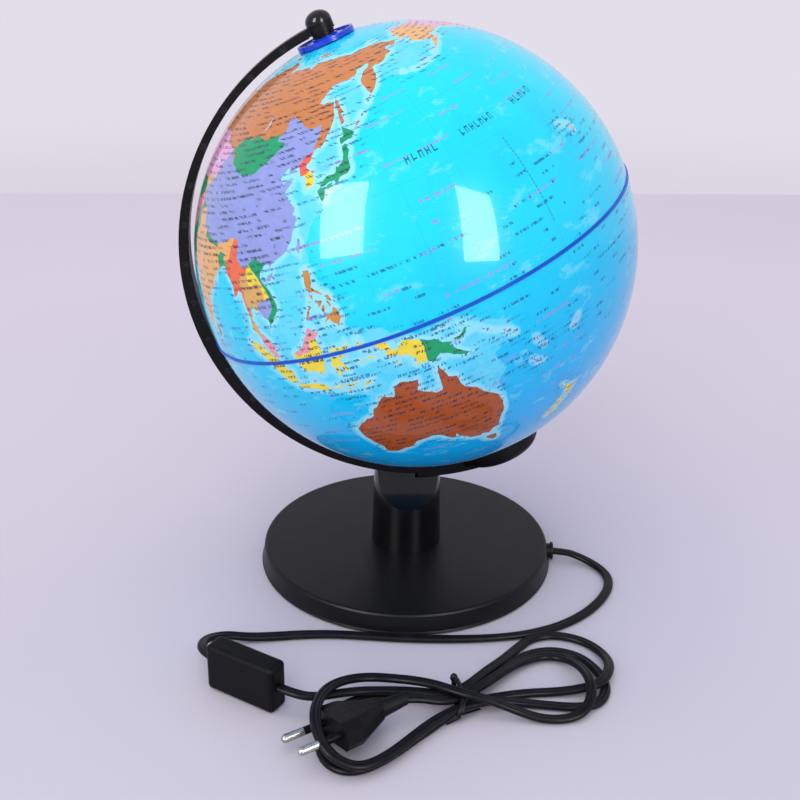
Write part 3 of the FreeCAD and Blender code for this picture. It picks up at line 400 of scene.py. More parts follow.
    ("yellow", P("116.8,-8.5 119.0,-8.3 118.8,-8.8 116.9,-9.0")), ("yellow", P("119.9,-8.4 122.9,-8.3 122.8,-8.7 119.9,-8.8")), ("yellow", P("123.6,-10.3 125.2,-8.8 127.2,-8.4 125.1,-9.6")), ("yellow", P("119.0,-9.6 120.8,-10.1 120.0,-10.3")),
    ("yellow", P("119.5,-5.5 120.4,-5.4 120.4,-3.0 121.1,-3.1 121.5,-4.7 122.7,-5.0 122.3,-3.4 121.4,-1.9 123.3,-1.0 123.3,-0.7 121.5,-0.9 120.1,-0.6 120.3,0.5 123.0,0.4 124.6,0.5 125.1,1.6 123.8,1.0 120.8,1.3 119.8,0.2 119.8,-0.8 118.8,-2.8 119.5,-3.5")),
    ("yellow", P("127.5,0.9 128.0,2.2 128.1,0.9 128.8,1.0 128.2,0.2 128.3,-0.8 127.7,-0.2")), ("yellow", P("128.0,-3.2 130.8,-3.5 130.2,-3.0 128.5,-2.8")), ("yellow", P("126.0,-3.2 127.1,-3.2 126.6,-3.8")), ("yellow", P("134.2,-6.0 134.7,-5.8 134.5,-6.8")),
    ("yellow", P("131.0,-0.8 132.4,-0.4 134.1,-0.8 134.2,-2.2 135.0,-3.3 137.8,-1.5 141.0,-2.6 144.5,-3.9 145.8,-5.4 147.8,-6.1 147.0,-6.8 148.2,-8.4 150.8,-10.3 149.8,-10.5 147.3,-9.5 146.0,-8.5 144.3,-7.7 143.2,-8.4 142.5,-9.3 140.0,-8.1 138.0,-8.4 138.9,-7.2 138.0,-5.5 135.0,-4.4 132.8,-4.1 132.9,-2.9 133.7,-2.5 132.2,-2.3 132.1,-1.5")),
    ("green", P("148.3,-5.7 150.0,-5.5 151.6,-4.2 152.3,-4.3 151.5,-5.5 149.6,-6.3")), ("green", P("150.8,-2.7 152.9,-4.4 153.1,-4.8 152.4,-4.0")), ("green", P("154.7,-5.5 155.9,-6.6 155.4,-6.7")), ("green", P("146.8,-2.0 147.4,-2.1 147.0,-2.3")),
    ("pink", P("156.6,-7.2 157.8,-8.2 157.2,-8.1")), ("pink", P("159.4,-8.6 161.1,-9.6 160.0,-9.7")), ("pink", P("161.4,-10.3 162.4,-10.8 161.6,-10.7")),
    ("lilac", P("164.0,-20.1 165.6,-21.2 167.0,-22.3 166.2,-22.2 164.6,-21.1")), ("red", P("166.6,-14.8 167.2,-15.6 167.0,-16.1 166.6,-15.5")), ("red", P("168.1,-17.6 168.5,-17.8 168.3,-18.1")), ("rose", P("177.3,-17.7 178.6,-17.8 178.1,-18.3")), ("rose", P("178.7,-16.7 180.0,-16.3 179.3,-16.9")),
    # Australia and New Zealand
    ("brown", P("""142.5,-10.7 143.6,-14.2 145.4,-14.9 146.2,-18.8 148.8,-20.4 150.8,-23.4 153.1,-25.6 153.6,-28.4 152.6,-32.4 150.0,-37.2 147.5,-38.0 146.4,-39.1 144.6,-38.2 143.5,-38.8 140.5,-37.9 139.7,-36.5
    138.5,-35.6 137.9,-33.5 137.0,-35.2 135.8,-34.8 134.2,-32.7 131.2,-31.5 126.0,-32.3 123.8,-33.9 118.2,-35.0 115.1,-34.3 115.7,-31.8 113.6,-26.2 113.7,-22.7 117.0,-20.6 121.5,-19.0 122.3,-17.2 124.0,-16.4
    126.8,-14.0 129.3,-15.0 130.8,-12.4 132.6,-11.4 136.8,-12.2 135.5,-14.9 139.2,-17.4 140.9,-17.3 141.6,-14.0 141.8,-12.0""")),
    ("brown", P("144.7,-40.7 148.3,-40.9 148.0,-43.0 146.5,-43.6 145.3,-42.3")),
    ("yellow", P("172.7,-34.5 174.5,-36.0 175.5,-36.8 178.5,-37.7 177.0,-39.4 176.9,-40.2 175.3,-41.6 174.9,-41.2 175.0,-40.0 173.8,-39.3 174.7,-38.0 174.4,-36.8")),
    ("yellow", P("172.7,-40.6 174.2,-41.5 172.9,-43.7 171.0,-45.0 170.6,-46.0 168.4,-46.6 166.6,-45.9 168.3,-44.2 171.2,-42.4")),
    ("green", P("79.8,8.2 80.2,9.8 81.8,7.4 81.0,6.1 80.0,6.3")),
    # the Americas
    ("pink", P("""191.9,65.6 196.0,64.5 199.0,64.6 198.5,63.5 194.5,63.0 194.0,61.5 197.5,59.9 202.0,58.8 202.5,58.4 200.0,56.6 197.0,55.2 195.5,54.7 198.0,55.0 201.5,55.8 205.0,57.9 206.5,59.3 208.2,60.8
    208.8,59.4 211.5,60.2 214.0,60.5 216.0,60.0 220.3,59.8 223.0,58.5 226.0,56.5 229.5,54.5 232.5,51.0 235.5,48.4 236.0,46.3 235.8,43.0 236.2,40.0 237.6,37.6 239.4,34.5 242.8,32.6 244.0,30.0
    246.0,27.2 248.0,24.4 250.3,23.0 248.9,25.5 247.0,28.5 245.3,31.6 247.0,31.2 249.0,27.9 251.3,25.5 254.4,22.8 254.5,20.4 258.0,17.0 263.5,15.7 265.8,16.2 268.0,14.3 272.3,13.0 274.3,11.0
    276.0,9.0 277.2,8.3 279.5,7.4 280.5,8.9 282.3,7.8 282.5,8.6 280.6,9.5 277.2,9.8 276.3,11.0 276.6,14.8 272.0,15.8 271.2,17.0 272.1,21.3 269.5,21.2 269.4,19.0 266.0,18.2 263.6,19.8 262.2,22.5
    262.8,26.0 264.8,29.0 270.3,29.6 271.0,30.2 275.0,29.8 277.3,28.0 278.4,25.5 279.8,25.4 279.9,27.5 278.6,30.8 281.5,33.6 284.5,35.2 283.9,37.2 285.5,39.5 286.0,40.7 289.9,41.8 289.4,43.0
    293.0,44.8 294.0,43.6 299.8,46.2 295.5,47.0 295.0,49.0 291.0,48.5 293.5,50.2 300.0,50.2 304.2,52.2 302.0,55.0 298.2,57.5 295.5,60.2 292.5,58.5 290.0,59.5 285.5,62.3 281.8,62.3 282.8,59.0
    283.5,56.5 281.2,54.5 280.8,51.5 278.0,52.8 277.5,55.2 272.0,56.7 267.5,58.7 265.5,60.5 266.0,62.0 269.5,63.2 273.0,65.0 272.5,66.5 275.0,69.0 266.0,69.0 265.5,71.8 262.0,69.0 252.0,68.0
    245.0,68.5 235.0,69.8 226.0,69.0 219.0,69.7 203.5,71.2 197.0,68.9 193.7,68.3 196.5,66.6""")),
    ("pink", P("279.0,73.6 288.0,71.0 293.0,68.5 298.0,66.5 295.5,63.0 290.0,62.8 286.0,64.3 286.5,66.0 283.0,69.0 272.0,70.0 270.0,72.5")), ("pink", P("243.0,69.0 257.0,69.0 255.0,73.0 244.0,73.0")),
    ("pink", P("272.0,76.5 282.0,76.5 297.0,82.0 290.0,83.0 268.0,81.0 270.5,78.5")), ("pink", P("235.0,71.5 240.0,72.0 240.0,74.5 235.0,74.0")), ("pink", P("268.0,74.7 280.0,74.7 278.0,76.0 268.0,76.0")), ("pink", P("244.0,75.2 256.0,75.0 262.0,76.4 246.0,76.6")),
    ("pink", P("300.7,47.6 307.2,46.9 306.5,49.5 304.3,51.4 301.5,49.0")),
    ("white", P("287.0,78.0 293.0,76.0 301.5,75.5 306.0,70.0 307.0,66.0 312.0,60.8 316.5,60.0 318.5,63.0 324.0,66.3 333.0,68.3 333.0,83.4 330.0,83.3 315.0,82.0 297.0,81.8")), ("white", P("-27.0,68.3 -22.0,70.3 -19.0,75.0 -18.0,80.0 -12.0,81.4 -20.0,82.8 -27.0,83.4")),
    ("red", P("275.1,21.9 278.0,23.1 282.5,21.2 285.8,20.2 282.3,19.9 282.0,20.7 278.0,22.1")), ("green", P("285.6,18.4 286.8,19.8 291.6,18.6 289.0,17.8")), ("yellow", P("281.8,18.4 283.7,18.1 282.8,17.8")), ("lightorange", P("292.8,18.5 294.3,18.3 293.4,17.9")),
    ("lightorange", P("204.0,19.0 205.2,19.5 204.6,20.2 204.0,19.8")), ("lightorange", P("203.3,20.9 203.9,20.7 203.7,21.0")), ("lightorange", P("201.8,21.4 202.3,21.4 202.0,21.7")), ("lightorange", P("200.3,22.0 200.7,22.0 200.5,22.2")),
    ("lightorange", P("206.0,57.0 207.6,57.6 207.0,58.3 205.6,57.6")), ("lightorange", P("194.6,53.9 196.2,54.5 195.4,54.8 193.6,53.7")), ("lightorange", P("190.8,52.9 192.2,53.3 191.6,53.6")), ("lightorange", P("185.0,51.9 187.2,52.2 186.0,52.4")), ("lightorange", P("181.0,51.6 183.2,51.8 182.0,52.1")),
    ("lightorange", P("176.8,51.8 178.4,51.7 177.6,52.1")), ("lightorange", P("172.4,52.9 173.6,52.7 173.0,53.1")),
    ("pink", P("""282.5,8.6 284.5,10.8 288.3,12.3 290.0,11.4 298.0,10.7 302.5,7.0 308.5,4.5 310.2,0.5 315.5,-2.8 320.5,-3.5 324.8,-5.3 325.2,-8.0 321.2,-13.0 320.8,-18.0 319.0,-22.4 314.5,-23.8 311.4,-28.3 306.5,-34.0
    303.4,-34.5 303.2,-36.8 298.0,-39.0 295.0,-41.0 295.0,-43.0 292.6,-46.3 291.2,-51.0 294.8,-54.8 288.5,-54.0 285.3,-51.5 284.5,-47.0 287.0,-42.0 286.5,-37.0 288.5,-30.0 289.7,-20.0 289.6,-18.3 283.8,-14.0
    280.2,-7.0 278.8,-4.5 279.8,-2.5 279.8,1.0 282.5,3.5 282.3,7.0""")),
    ("white", P("""-27,-76 -15,-73 0,-70 20,-70 40,-69.5 55,-66.5 70,-69 85,-67 100,-66 115,-66.5 130,-66.3 145,-67 160,-69.5 170,-72 166,-77.5 180,-78.2 200,-78.5 205,-77 215,-75 230,-74.3 250,-74 262,-73 285,-73 292,-68
    300,-64 303,-63.3 299,-66.5 297,-71 298,-75 305,-77.5 320,-78 333,-76 333,-80.45 -27,-80.45""")),
]
WATER = [P("28,41.4 31.5,41.2 35,42.1 38.5,41 41.5,41.6 39,44.2 36.5,45.3 39,47.1 35,46.2 33.5,44.6 31,46.6 28.5,43.6"), P("47,45.5 51,46.9 53,45.2 51,44.4 53.5,42 53.8,37.2 50,37.4 49.3,40.3 47.6,42.8"),
         P("103.8,51.5 106.2,52.3 109.0,53.9 109.9,55.8 109.2,55.4 107.8,53.6 105.6,52.2"), P("58.2,45 61,44.4 61.3,46.4 59.5,46.2"), P("74,46.2 77.5,46.8 79,46.6 76,45.6"), P("31.8,-0.5 34.2,0.3 34.2,-2.0 32.0,-2.6"), P("29.4,-3.5 30.8,-7.5 30.2,-8.2 29.2,-5"),
         P("268,46.8 272,48.5 275.5,46.6 272,46.5"), P("272.2,42 274,45.8 273.6,42.2"), P("276.2,45.8 280,44.6 278.3,43.2"), P("277,41.5 281,42.8 279.5,42"), P("281,43.3 283.8,44 282.5,43.4"), P("236,65.5 240,66.5 238,65"), P("244,61.3 250,62.5 248,61.6"), P("261,51 263,53.8 262.4,51")]
COUNTRY = [
    ("pink", P("47,50.5 50,51.5 55,50.8 61,51.5 61,54 70,55.2 77,54 80,50.8 87.3,49.1 82.5,45.5 80.2,42.2 74,43 70,42 66,42 61,44.5 56,45.2 56,41.3 52.5,42 50,44.5 47,46")),
    ("green", P("56,41.3 56,45.2 61,44.5 66,42 70,42 73.5,39.5 71,38.2 66.5,37.3 61,36.5 54,37.4 52.5,42")), ("lightorange", P("70,42 74,43 80.2,42.2 73.5,39.5")),
    ("lilac", P("""73.5,39.5 80.2,42.2 82.5,45.5 87.3,49.1 91,45.2 96,42.7 105,41.6 111.9,43.7 119.8,46.7 115.7,47.8 117.5,49.6 119.9,50.2 120.9,53.3 123.6,53.5 126.9,51.3 127.6,49.8 130.9,48 135,48.4 133.1,45
    131.3,43.5 130.6,42.4 128,42 124.3,40 124,36 126,30 123,24 118,20 112,17.5 108.5,17.5 108.1,21.5 105.3,23.3 102.1,22.4 101.2,21.2 99,22 97.5,24 98.7,27.5 97.3,28.3 92,27.6 88.8,27.3 86,28 81,30.3 78.7,31.5 78.5,35.5 74.5,37.2""")),
    ("green", P("87.8,49.2 92,50.7 98.3,52.1 98.9,50.5 102.3,51.3 107,49.9 113,49.6 116.7,49.8 115.7,47.8 119.8,46.7 111.9,43.7 105,41.6 96,42.7 91,45.2 90.8,47")),
    ("red", P("124.3,40 128,42 130.6,42.4 131.5,41.5 129,38.7 126.7,37.8 124,37.6")), ("yellow", P("124,37.6 126.7,37.8 129,38.7 131.5,37.5 129.8,34 125.5,33.5")),
    ("redorange", P("92.2,20.7 94,23.9 97.3,28.3 98.7,27.5 97.5,24 99,22 101.2,21.4 100.2,20.3 98,19.7 97.4,18.5 98.6,16.5 98.2,15.1 99.2,11.8 98.7,10.3 97,10 94,15 92,19")),
    ("tan", P("98,19.7 100.2,20.3 100.8,19.6 101.2,17.6 102.5,17.9 104.2,18.2 105.4,16 105.6,14.2 102.5,13.6 102.7,12 100.5,12.5 100.2,9 102,6.1 100.2,6.4 98,7 98.7,10.3 99.2,11.8 98.2,15.1 98.6,16.5 97.4,18.5")),
    ("green", P("102.1,22.4 105.3,23.3 108.1,21.5 109,19 110.5,15 110.5,10.5 105,8 104.3,10.2 105.8,11 107.5,12.3 107.5,14.8 106.5,16.6 104.7,19.3 103.2,20.8")),
    ("yellow", P("102.1,22.4 103.2,20.8 104.7,19.3 106.5,16.6 107.5,14.8 105.6,14.2 105.4,16 104.2,18.2 102.5,17.9 101.2,17.6 100.8,19.6 100.2,20.3 101.2,21.4")),
    ("lilac", P("102.5,13.6 105.6,14.2 107.5,14.8 107.5,12.3 105.8,11 104.4,10.3 103,10 102.7,12")),
    ("rose", P("99.5,6.6 102.1,6.3 104.8,3 104.6,1.1 103,1 99.8,4")), ("rose", P("109.5,2 110.5,0.9 112,1.4 114.5,1.5 115.5,4.2 118,4.2 120,5 117,7.5 112,4")), ("green", P("141,-1 141,-10 157,-12 157,-1")),
    ("lightorange", P("""68.1,23.7 71,24.4 70,27.8 74,31 74,34.5 78.5,35.5 78.7,31.5 81,30.3 80.1,28.8 84,27.4 88.1,26.5 88.8,27.3 92,27.6 97.3,28.3 94,23.9 92.2,23 91.2,24 92,25.1 89.8,25.8 88.3,24.5 89,21.6
    87,19 81.5,14 80.5,7 75,7 70,18 68,22""")),
    ("green", P("80.1,28.8 81,30.3 86,28 88.1,27.9 88.1,26.5 84,27.4")), ("green", P("89,21.6 88.3,24.5 89.8,25.8 92,25.1 91.2,24 92.2,23 92.3,20.7 90,21")),
    ("green", P("61.6,25 66.5,24.5 68.1,23.7 71,24.4 70,27.8 74,31 74,34.5 78.5,35.5 74.5,37.2 71.3,34.5 69.5,31.9 66.3,29.8 61,29.4")), ("rose", P("61,35.3 61,29.4 66.3,29.8 69.5,31.9 71.3,34.5 74.8,37.3 71,38.2 66.5,37.3 61,36.5")),
    ("yellow", P("44.5,39.6 48,39 50,37.5 54,37.4 61,36.5 61,35.3 61,29.4 61.6,25 57,25 50,29 48,30 46,33 45,36")), ("green", P("34,29.5 39,32 47,29 48.5,28 51,26 56.6,26.5 60,22 52,12 43,12 38,21")),
    ("pink", P("42.3,16.5 48,18.5 52,19 55,20 55.5,22.5 56.5,26.5 61,22 52,12 42,12")), ("tan", P("39,32 42,37 45,36 46,33 48,30 47,29")), ("rose", P("35,31 36,37 42,37 39,32 34.8,29.5")), ("leaf", P("26,36 26,40.5 29,41.3 41.5,41.6 44.5,39.6 44.5,37.2 36.2,36.6")),
    # Europe
    ("yellow", P("22,48 24,51.8 31,52.2 40,49.6 38,47 33,45 29.5,45.2")), ("rose", P("24,51.8 24,54 28,56 31,54.5 31,52.2")), ("pink", P("14.3,54 14.5,51 19,49.3 23,49.3 24,52 23,54.3")), ("lilac", P("6,54.5 14.3,54.5 14.5,51 12,50.3 13.5,48.6 12.5,47.5 7.6,47.6 6,51")),
    ("leaf", P("-5,49 2.5,51.2 7.8,49 6,46 7.5,43.7 3,42.4 -1.8,43.3")), ("yellow", P("-9.5,43.9 -1.8,43.3 3,42.4 3.5,41.5 -2,36 -7.4,37 -6.8,41.8 -9,42")), ("green", P("-9,42 -6.8,41.8 -7.4,37 -10,36.5")), ("rose", P("6.8,45.8 13.7,46.5 13,44 19,40 16,37.5 10,41 7.5,43.8")),
    ("pink", P("9.5,47 17,48.9 17,46.6 13.7,46.4")), ("yellow", P("17,48.9 22.6,48.3 21,46 16.5,46.5")), ("lilac", P("20.5,46 26.5,48.2 29.8,45 28.5,43.7 22.8,43.8")), ("pink", P("13.5,45.8 20,46 22.8,43.8 20,41.5 19,42")), ("lightorange", P("22.8,43.8 28.5,43.7 28,41.8 22.5,41.3")), ("lilac", P("20,41.5 26.5,41.3 27,35 20,36.5 19,40")),
    ("lilac", P("4.5,58 11.2,59 12.3,61 12,64 16,68 20.5,69.2 31,69.8 31,72 18,71 4,62")), ("yellow", P("11.2,59 12.3,61 12,64 16,68 20.5,69.2 24,66 21,63 19.5,59 16,55 12.5,55.2")), ("rose", P("20.5,69.2 24,66 21,63 22,59.5 27.8,60.4 31.5,62.8 29.5,66 28.5,69.8")), ("green", P("21,56.2 28,56 27.8,59.7 22,59.8")),
    # Africa
    ("yellow", P("-8.7,27.5 -2,35.3 -1.5,37 8.4,37.5 7.6,33 9.5,30 10,24 5,19 -5,25")), ("rose", P("-13.5,27.5 -8.7,27.5 -2,35.3 -5.5,36.5 -11,32")), ("green", P("9.5,30 11,33.5 25,32.5 25,20 16,23.5 10,24")), ("pink", P("25,22 25,32.5 34.5,31.5 38,22")),
    ("lilac", P("-17,21.5 -8.7,27.5 -5,25 -6,15.5 -12.2,14.8 -17,16.5")), ("tan", P("-5,25 5,19 4,15.5 -3,14.5 -5,10.3 -11.5,12.2 -12.2,14.8 -6,15.5")), ("lilac", P("5,19 10,24 16,23.5 13.5,13.7 4,13 4,15.5")), ("green", P("4,13 13.5,13.7 14.5,12 9.5,6.5 8.5,4 2.7,6.2")),
    ("pink", P("16,23.5 24,19.5 22,11 15.5,7.6 13.5,13.7")), ("redorange", P("24,19.5 25,22 37,22 38.6,18 36,11 34,8 24,8.5 22,11")), ("leaf", P("24,8.5 34,8 34,4 27,5 ")), ("yellow", P("38.6,18 43,12.5 48,8 42,4 35,5 34,8 36,11")), ("pink", P("43,12 51.5,12 46,2 41,-2 42,4 48,8")),
    ("green", P("34,4.5 42,4 41,-2 39.3,-5 34,-1")), ("lilac", P("30,4 34,4.5 34,-1 29.6,-1.2")), ("rose", P("29.6,-1.2 34,-1 39.3,-5 41,-11 34.6,-11.5 30.5,-8.5")), ("yellow", P("12.2,-6 16,-5 18,4.5 27.5,5 31,2.5 29,-4.5 30.5,-8.5 29,-13.3 24,-11 22,-8 17,-8")), ("lilac", P("8.6,4 9.5,6.5 14.5,12 15.5,7.6 14.5,2 9.5,2")),
    ("rose", P("15.5,7.6 22,11 24,8.5 27,5 18,4.5 14.5,2")), ("lightorange", P("9,2 14.5,2 18,4.5 16,-5 12,-5 8.5,-1")), ("pink", P("12,-6 17,-8 22,-8 24,-11 22,-13 23.5,-17.8 11.5,-17.3")), ("green", P("22,-13 24,-11 29,-13.3 33,-10 32.5,-14 25.5,-18 23.5,-17.8")), ("lilac", P("34.6,-11.5 41,-10.5 41,-16 36,-25 32,-27 31,-22 33,-17 32.5,-14")),
    ("tan", P("11.5,-17.3 25,-18 20.5,-22 20,-28.5 16,-29 14,-22")), ("yellow", P("25,-18 31,-22 27,-25.5 20,-27 20.5,-22")), ("rose", P("16,-29 20,-28.5 20,-27 27,-25.5 31,-22 32,-27 30,-32 20,-36 17,-33")), ("leaf", P("25.5,-18 32.5,-16 33,-17 31,-22 28,-21")),
    # North America
    ("lightorange", P("236,49 265,49.3 277,46.5 280,42.5 285,45 291,47.4 293,44.5 290,40 281,24 275,28 263,25.5 258.5,29.8 253.5,31.8 245.3,32.5 242.8,32.5 233,40 234,48.5")), ("lightorange", P("190,72 219,72 219,60.3 225,59 230,55.5 229,54 190,50")),
    ("green", P("242.8,32.5 245.3,32.5 253.5,31.8 258.5,29.8 263,25.5 266,20 273,23 272,17.5 267.8,14.5 258,14 247,20")), ("rose", P("267.8,14.5 272,17.8 277.5,15 275,12.5 271,12")), ("yellow", P("275,12.5 277.5,15 277,9 274,10")), ("lilac", P("277,9 277.5,10 283,9.5 282,7 278,7")),
    # South America
    ("green", P("""286,-8 290,-4.2 291,1.5 296,2 299.5,5 309,4.5 316,-1 326,-5 322,-15 320,-22 312,-27 307,-34 302.5,-30.2 305,-26 302,-22 300,-16 294.6,-10 289.5,-11""")), ("yellow", P("286.5,8.5 289,12.5 300,11 299.5,5 296,2 293,1.5 288,7")), ("rose", P("281,1 282.5,8.6 286.5,12 288,7 293,1.5 291,1.5 290,-4.2")),
    ("tan", P("278,-3.4 281,1 290,-4.2 286,-8 289.5,-11 291.3,-14 290.6,-18.5 282,-14 278,-6")), ("lilac", P("291.3,-14 289.5,-11 294.6,-10 300,-16 302,-20 293,-22.8 290.6,-18.5")), ("yellow", P("293,-22.8 298,-22 302,-25.5 305,-27 302.5,-30.2 301.5,-34.2 304,-37 293,-42 292,-47 290.5,-52 287.5,-50 288.5,-40 290,-32 291.5,-26")),
    ("pink", P("298,-22 302,-20 302,-22 305,-26 302,-25.5")), ("red", P("278,-3.4 279.5,1.2 281,1 284,-1")),
]
SHELF = [P("""156.5,50.0 160.5,52.0 164,54.6 168,53.4 172,51.9 178,50.9 184,51.2 190,52.2 196,53.8 202,56.0 206,58 200,62 192,67 175,68 168,63 150,63 132,52 120,42 112,30 104,24 96,22 95.5,12 95.6,7 93.8,5.5 96,1 99,-2.5 102.5,-6.2 105,-8.2
110,-9.4 116,-10.2 121,-11.4 124.5,-12.6 121.5,-16.5 117.5,-18.6 112.6,-20.4 111.4,-25 113,-30 113.8,-35.2 118,-36.2 124,-34.9 129,-32.6 133.5,-35.6 138,-38.5 142.5,-40.2 143.4,-43.2 147,-44.8 149.6,-42.6 149.3,-39.5 151.6,-37
154.6,-31 155.2,-26 154.2,-21.5 157.5,-18.0 156,-13.4 161,-12.2 163.6,-11.4 162.2,-8.6 156.5,-4.4 152,-1.4 147,-0.8 141,-1.1 136,0.9 131,3.4 127.6,4.4 127.2,7.8 126.3,12 124.4,15.6 123,19.4 122.8,23.2 125,25.6 128.6,28.4 131.6,30.3
133.4,31.9 136.2,32.5 139.4,33.6 141.6,34.6 142.2,37.6 143.4,41 146.4,42.6 150.4,45.2 153.8,47.6""")]


def inside(poly, x, y):
    px = np.array([p[0] for p in poly])
    py = np.array([p[1] for p in poly])
    hit = np.zeros(len(x), bool)
    near = (x >= px.min()) & (x <= px.max()) & (y >= py.min()) & (y <= py.max())
    xs, ys = x[near], y[near]
    res = np.zeros(len(xs), bool)
    j = len(px) - 1
    for i in range(len(px)):
        c = (py[i] > ys) != (py[j] > ys)
        if py[i] != py[j]:
            res ^= c & (xs < (px[j] - px[i]) * (ys - py[i]) / (py[j] - py[i]) + px[i])
        j = i
    hit[near] = res
    return hit


def rough_edge(a, b2, level, amp):
    """A border edge broken into small bays, the same way from both of its sides."""
    if level == 0 or math.hypot(b2[0] - a[0], b2[1] - a[1]) < 0.5:
        return [a]
    lo, hi = sorted((a, b2))
    rnd = random.Random("%.3f %.3f %.3f %.3f" % (lo + hi))
    t, k = 0.5 + rnd.uniform(-0.12, 0.12), rnd.uniform(-amp, amp)
    mx = lo[0] + (hi[0] - lo[0]) * t - (hi[1] - lo[1]) * k
    my = lo[1] + (hi[1] - lo[1]) * t + (hi[0] - lo[0]) * k
    mid = (min(max(mx, W), E), my)
    return rough_edge(a, mid, level - 1, amp) + rough_edge(mid, b2, level - 1, amp)


def roughen(poly, level=2, amp=0.09):
    out = []
    for i in range(len(poly)):
        a, b2 = poly[i], poly[(i + 1) % len(poly)]
        straight = abs(a[0] - b2[0]) < 1e-6 and (abs(a[0] - W) < 1e-6 or abs(a[0] - E) < 1e-6)
        out += [a] if straight or abs(a[1] + 80.45) < 0.01 and abs(b2[1] + 80.45) < 0.01 else rough_edge(a, b2, level, amp)
    return out


land = [(c, roughen(p)) for c, p in LAND]
water = [roughen(p) for p in WATER]
country = [(c, roughen(p, 2, 0.07)) for c, p in COUNTRY]
shelf = [roughen(p, 3, 0.14) for p in SHELF]
pts, edges = [], []


def add_loop(poly, closed=True):
    k = len(pts)
    q = [(min(max(x, W), E), min(max(y, -80.5), 86.5)) for x, y in poly]
    pts.extend(q)
    n = len(q)
    for i in range(n if closed else n - 1):
        edges.append((k + i, k + (i + 1) % n))


for c, p in land:
    add_loop(p)
for p in water + shelf:
    add_loop(p)
for c, p in country:
    add_loop(p)
STEP = 2.0
lons = [W + STEP * i for i in range(int((E - W) / STEP) + 1)]
for lat in (-80.5, -0.4, 0.4, 86.5):
    add_loop([(x, lat) for x in lons], False)
for x in (W, E):
    add_loop([(x, -80.5)] + [(x, y) for y in range(-78, 0, 2)] + [(x, -0.4)], False)
    add_loop([(x, 0.4)] + [(x, y) for y in range(2, 86, 2)] + [(x, 86.5)], False)
for j in range(-39, 43):
    lat = j * STEP
    if abs(lat) < 1.0:
        continue
    thin = 1 if abs(lat) < 62 else 2 if abs(lat) < 76 else 4
    for i, x in enumerate(lons[1:-1], 1):
        if i % thin == 0:
            pts.append((x + (0.5 * STEP if j % 2 and x + 1.2 < E else 0.0), lat))
cv, ce, cf, *_rest = delaunay_2d_cdt([Vector(p) for p in pts], edges, [], 0, 1e-5)
vx = np.array([v.x for v in cv])
vy = np.array([v.y for v in cv])
tri = np.array([f for f in cf if len(f) == 3], int)
ctx, cty = vx[tri].mean(1), vy[tri].mean(1)
is_land = np.zeros(len(tri), bool)
rgb = np.zeros((len(tri), 3))
for c, p in land:
    hit = inside(p, ctx, cty)
    is_land |= hit
    rgb[hit] = C[c]
for c, p in country:
    hit = inside(p, ctx, cty) & is_land
    rgb[hit] = C[c]
cold = is_land & ((cty < -60) | ((cty > 59) & (ctx > 306)))
rgb[cold] = C["white"]
for p in water:
    is_land &= ~inside(p, ctx, cty)
is_shelf = np.zeros(len(tri), bool)
for p in shelf:
    is_shelf |= inside(p, ctx, cty)
kind = np.where(is_land, 1.0, np.where(is_shelf, 0.5, 0.0))

# how far each map point is from the nearest coast, for the shallow-water tints and the denser print
lonr, latr = np.radians(vx), np.radians(vy)
unit = np.stack([np.cos(latr) * np.cos(lonr), np.cos(latr) * np.sin(lonr), np.sin(latr)], 1)
from mathutils.kdtree import KDTree
touch_land = np.zeros(len(vx), bool)
touch_sea = np.zeros(len(vx), bool)
touch_land[tri[is_land].ravel()] = True
touch_sea[tri[~is_land].ravel()] = True
coast = np.where(touch_land & touch_sea)[0]
kd = KDTree(len(coast))
for k in coast:
    kd.insert(Vector(unit[k]), int(k))
kd.balance()
far = np.array([math.degrees(2 * math.asin(min(1.0, kd.find(Vector(u))[2] / 2))) for u in unit])
deep = np.clip(far / 12.0, 0, 1)


def printed_at(lon, lat):
    """Where the printed sheet ends up: it is stretched a little as it is formed over the ball."""
    return (lon + float(np.interp(lon, [W, 60, 88, 105, 120, 150, 200, 240, E], [0, 0, 1.5, 1.2, -0.6, -1.3, -2.4, 0, 0])) * (1.0 if lat > 0 else max(0.0, 1.0 + lat / 60.0)),
            lat + float(np.interp(lat, [-90, 0.4, 20, 35, 48, 55, 74, 90], [0, 0, 1.5, 2.5, 3.1, 2.6, 0, 0])))


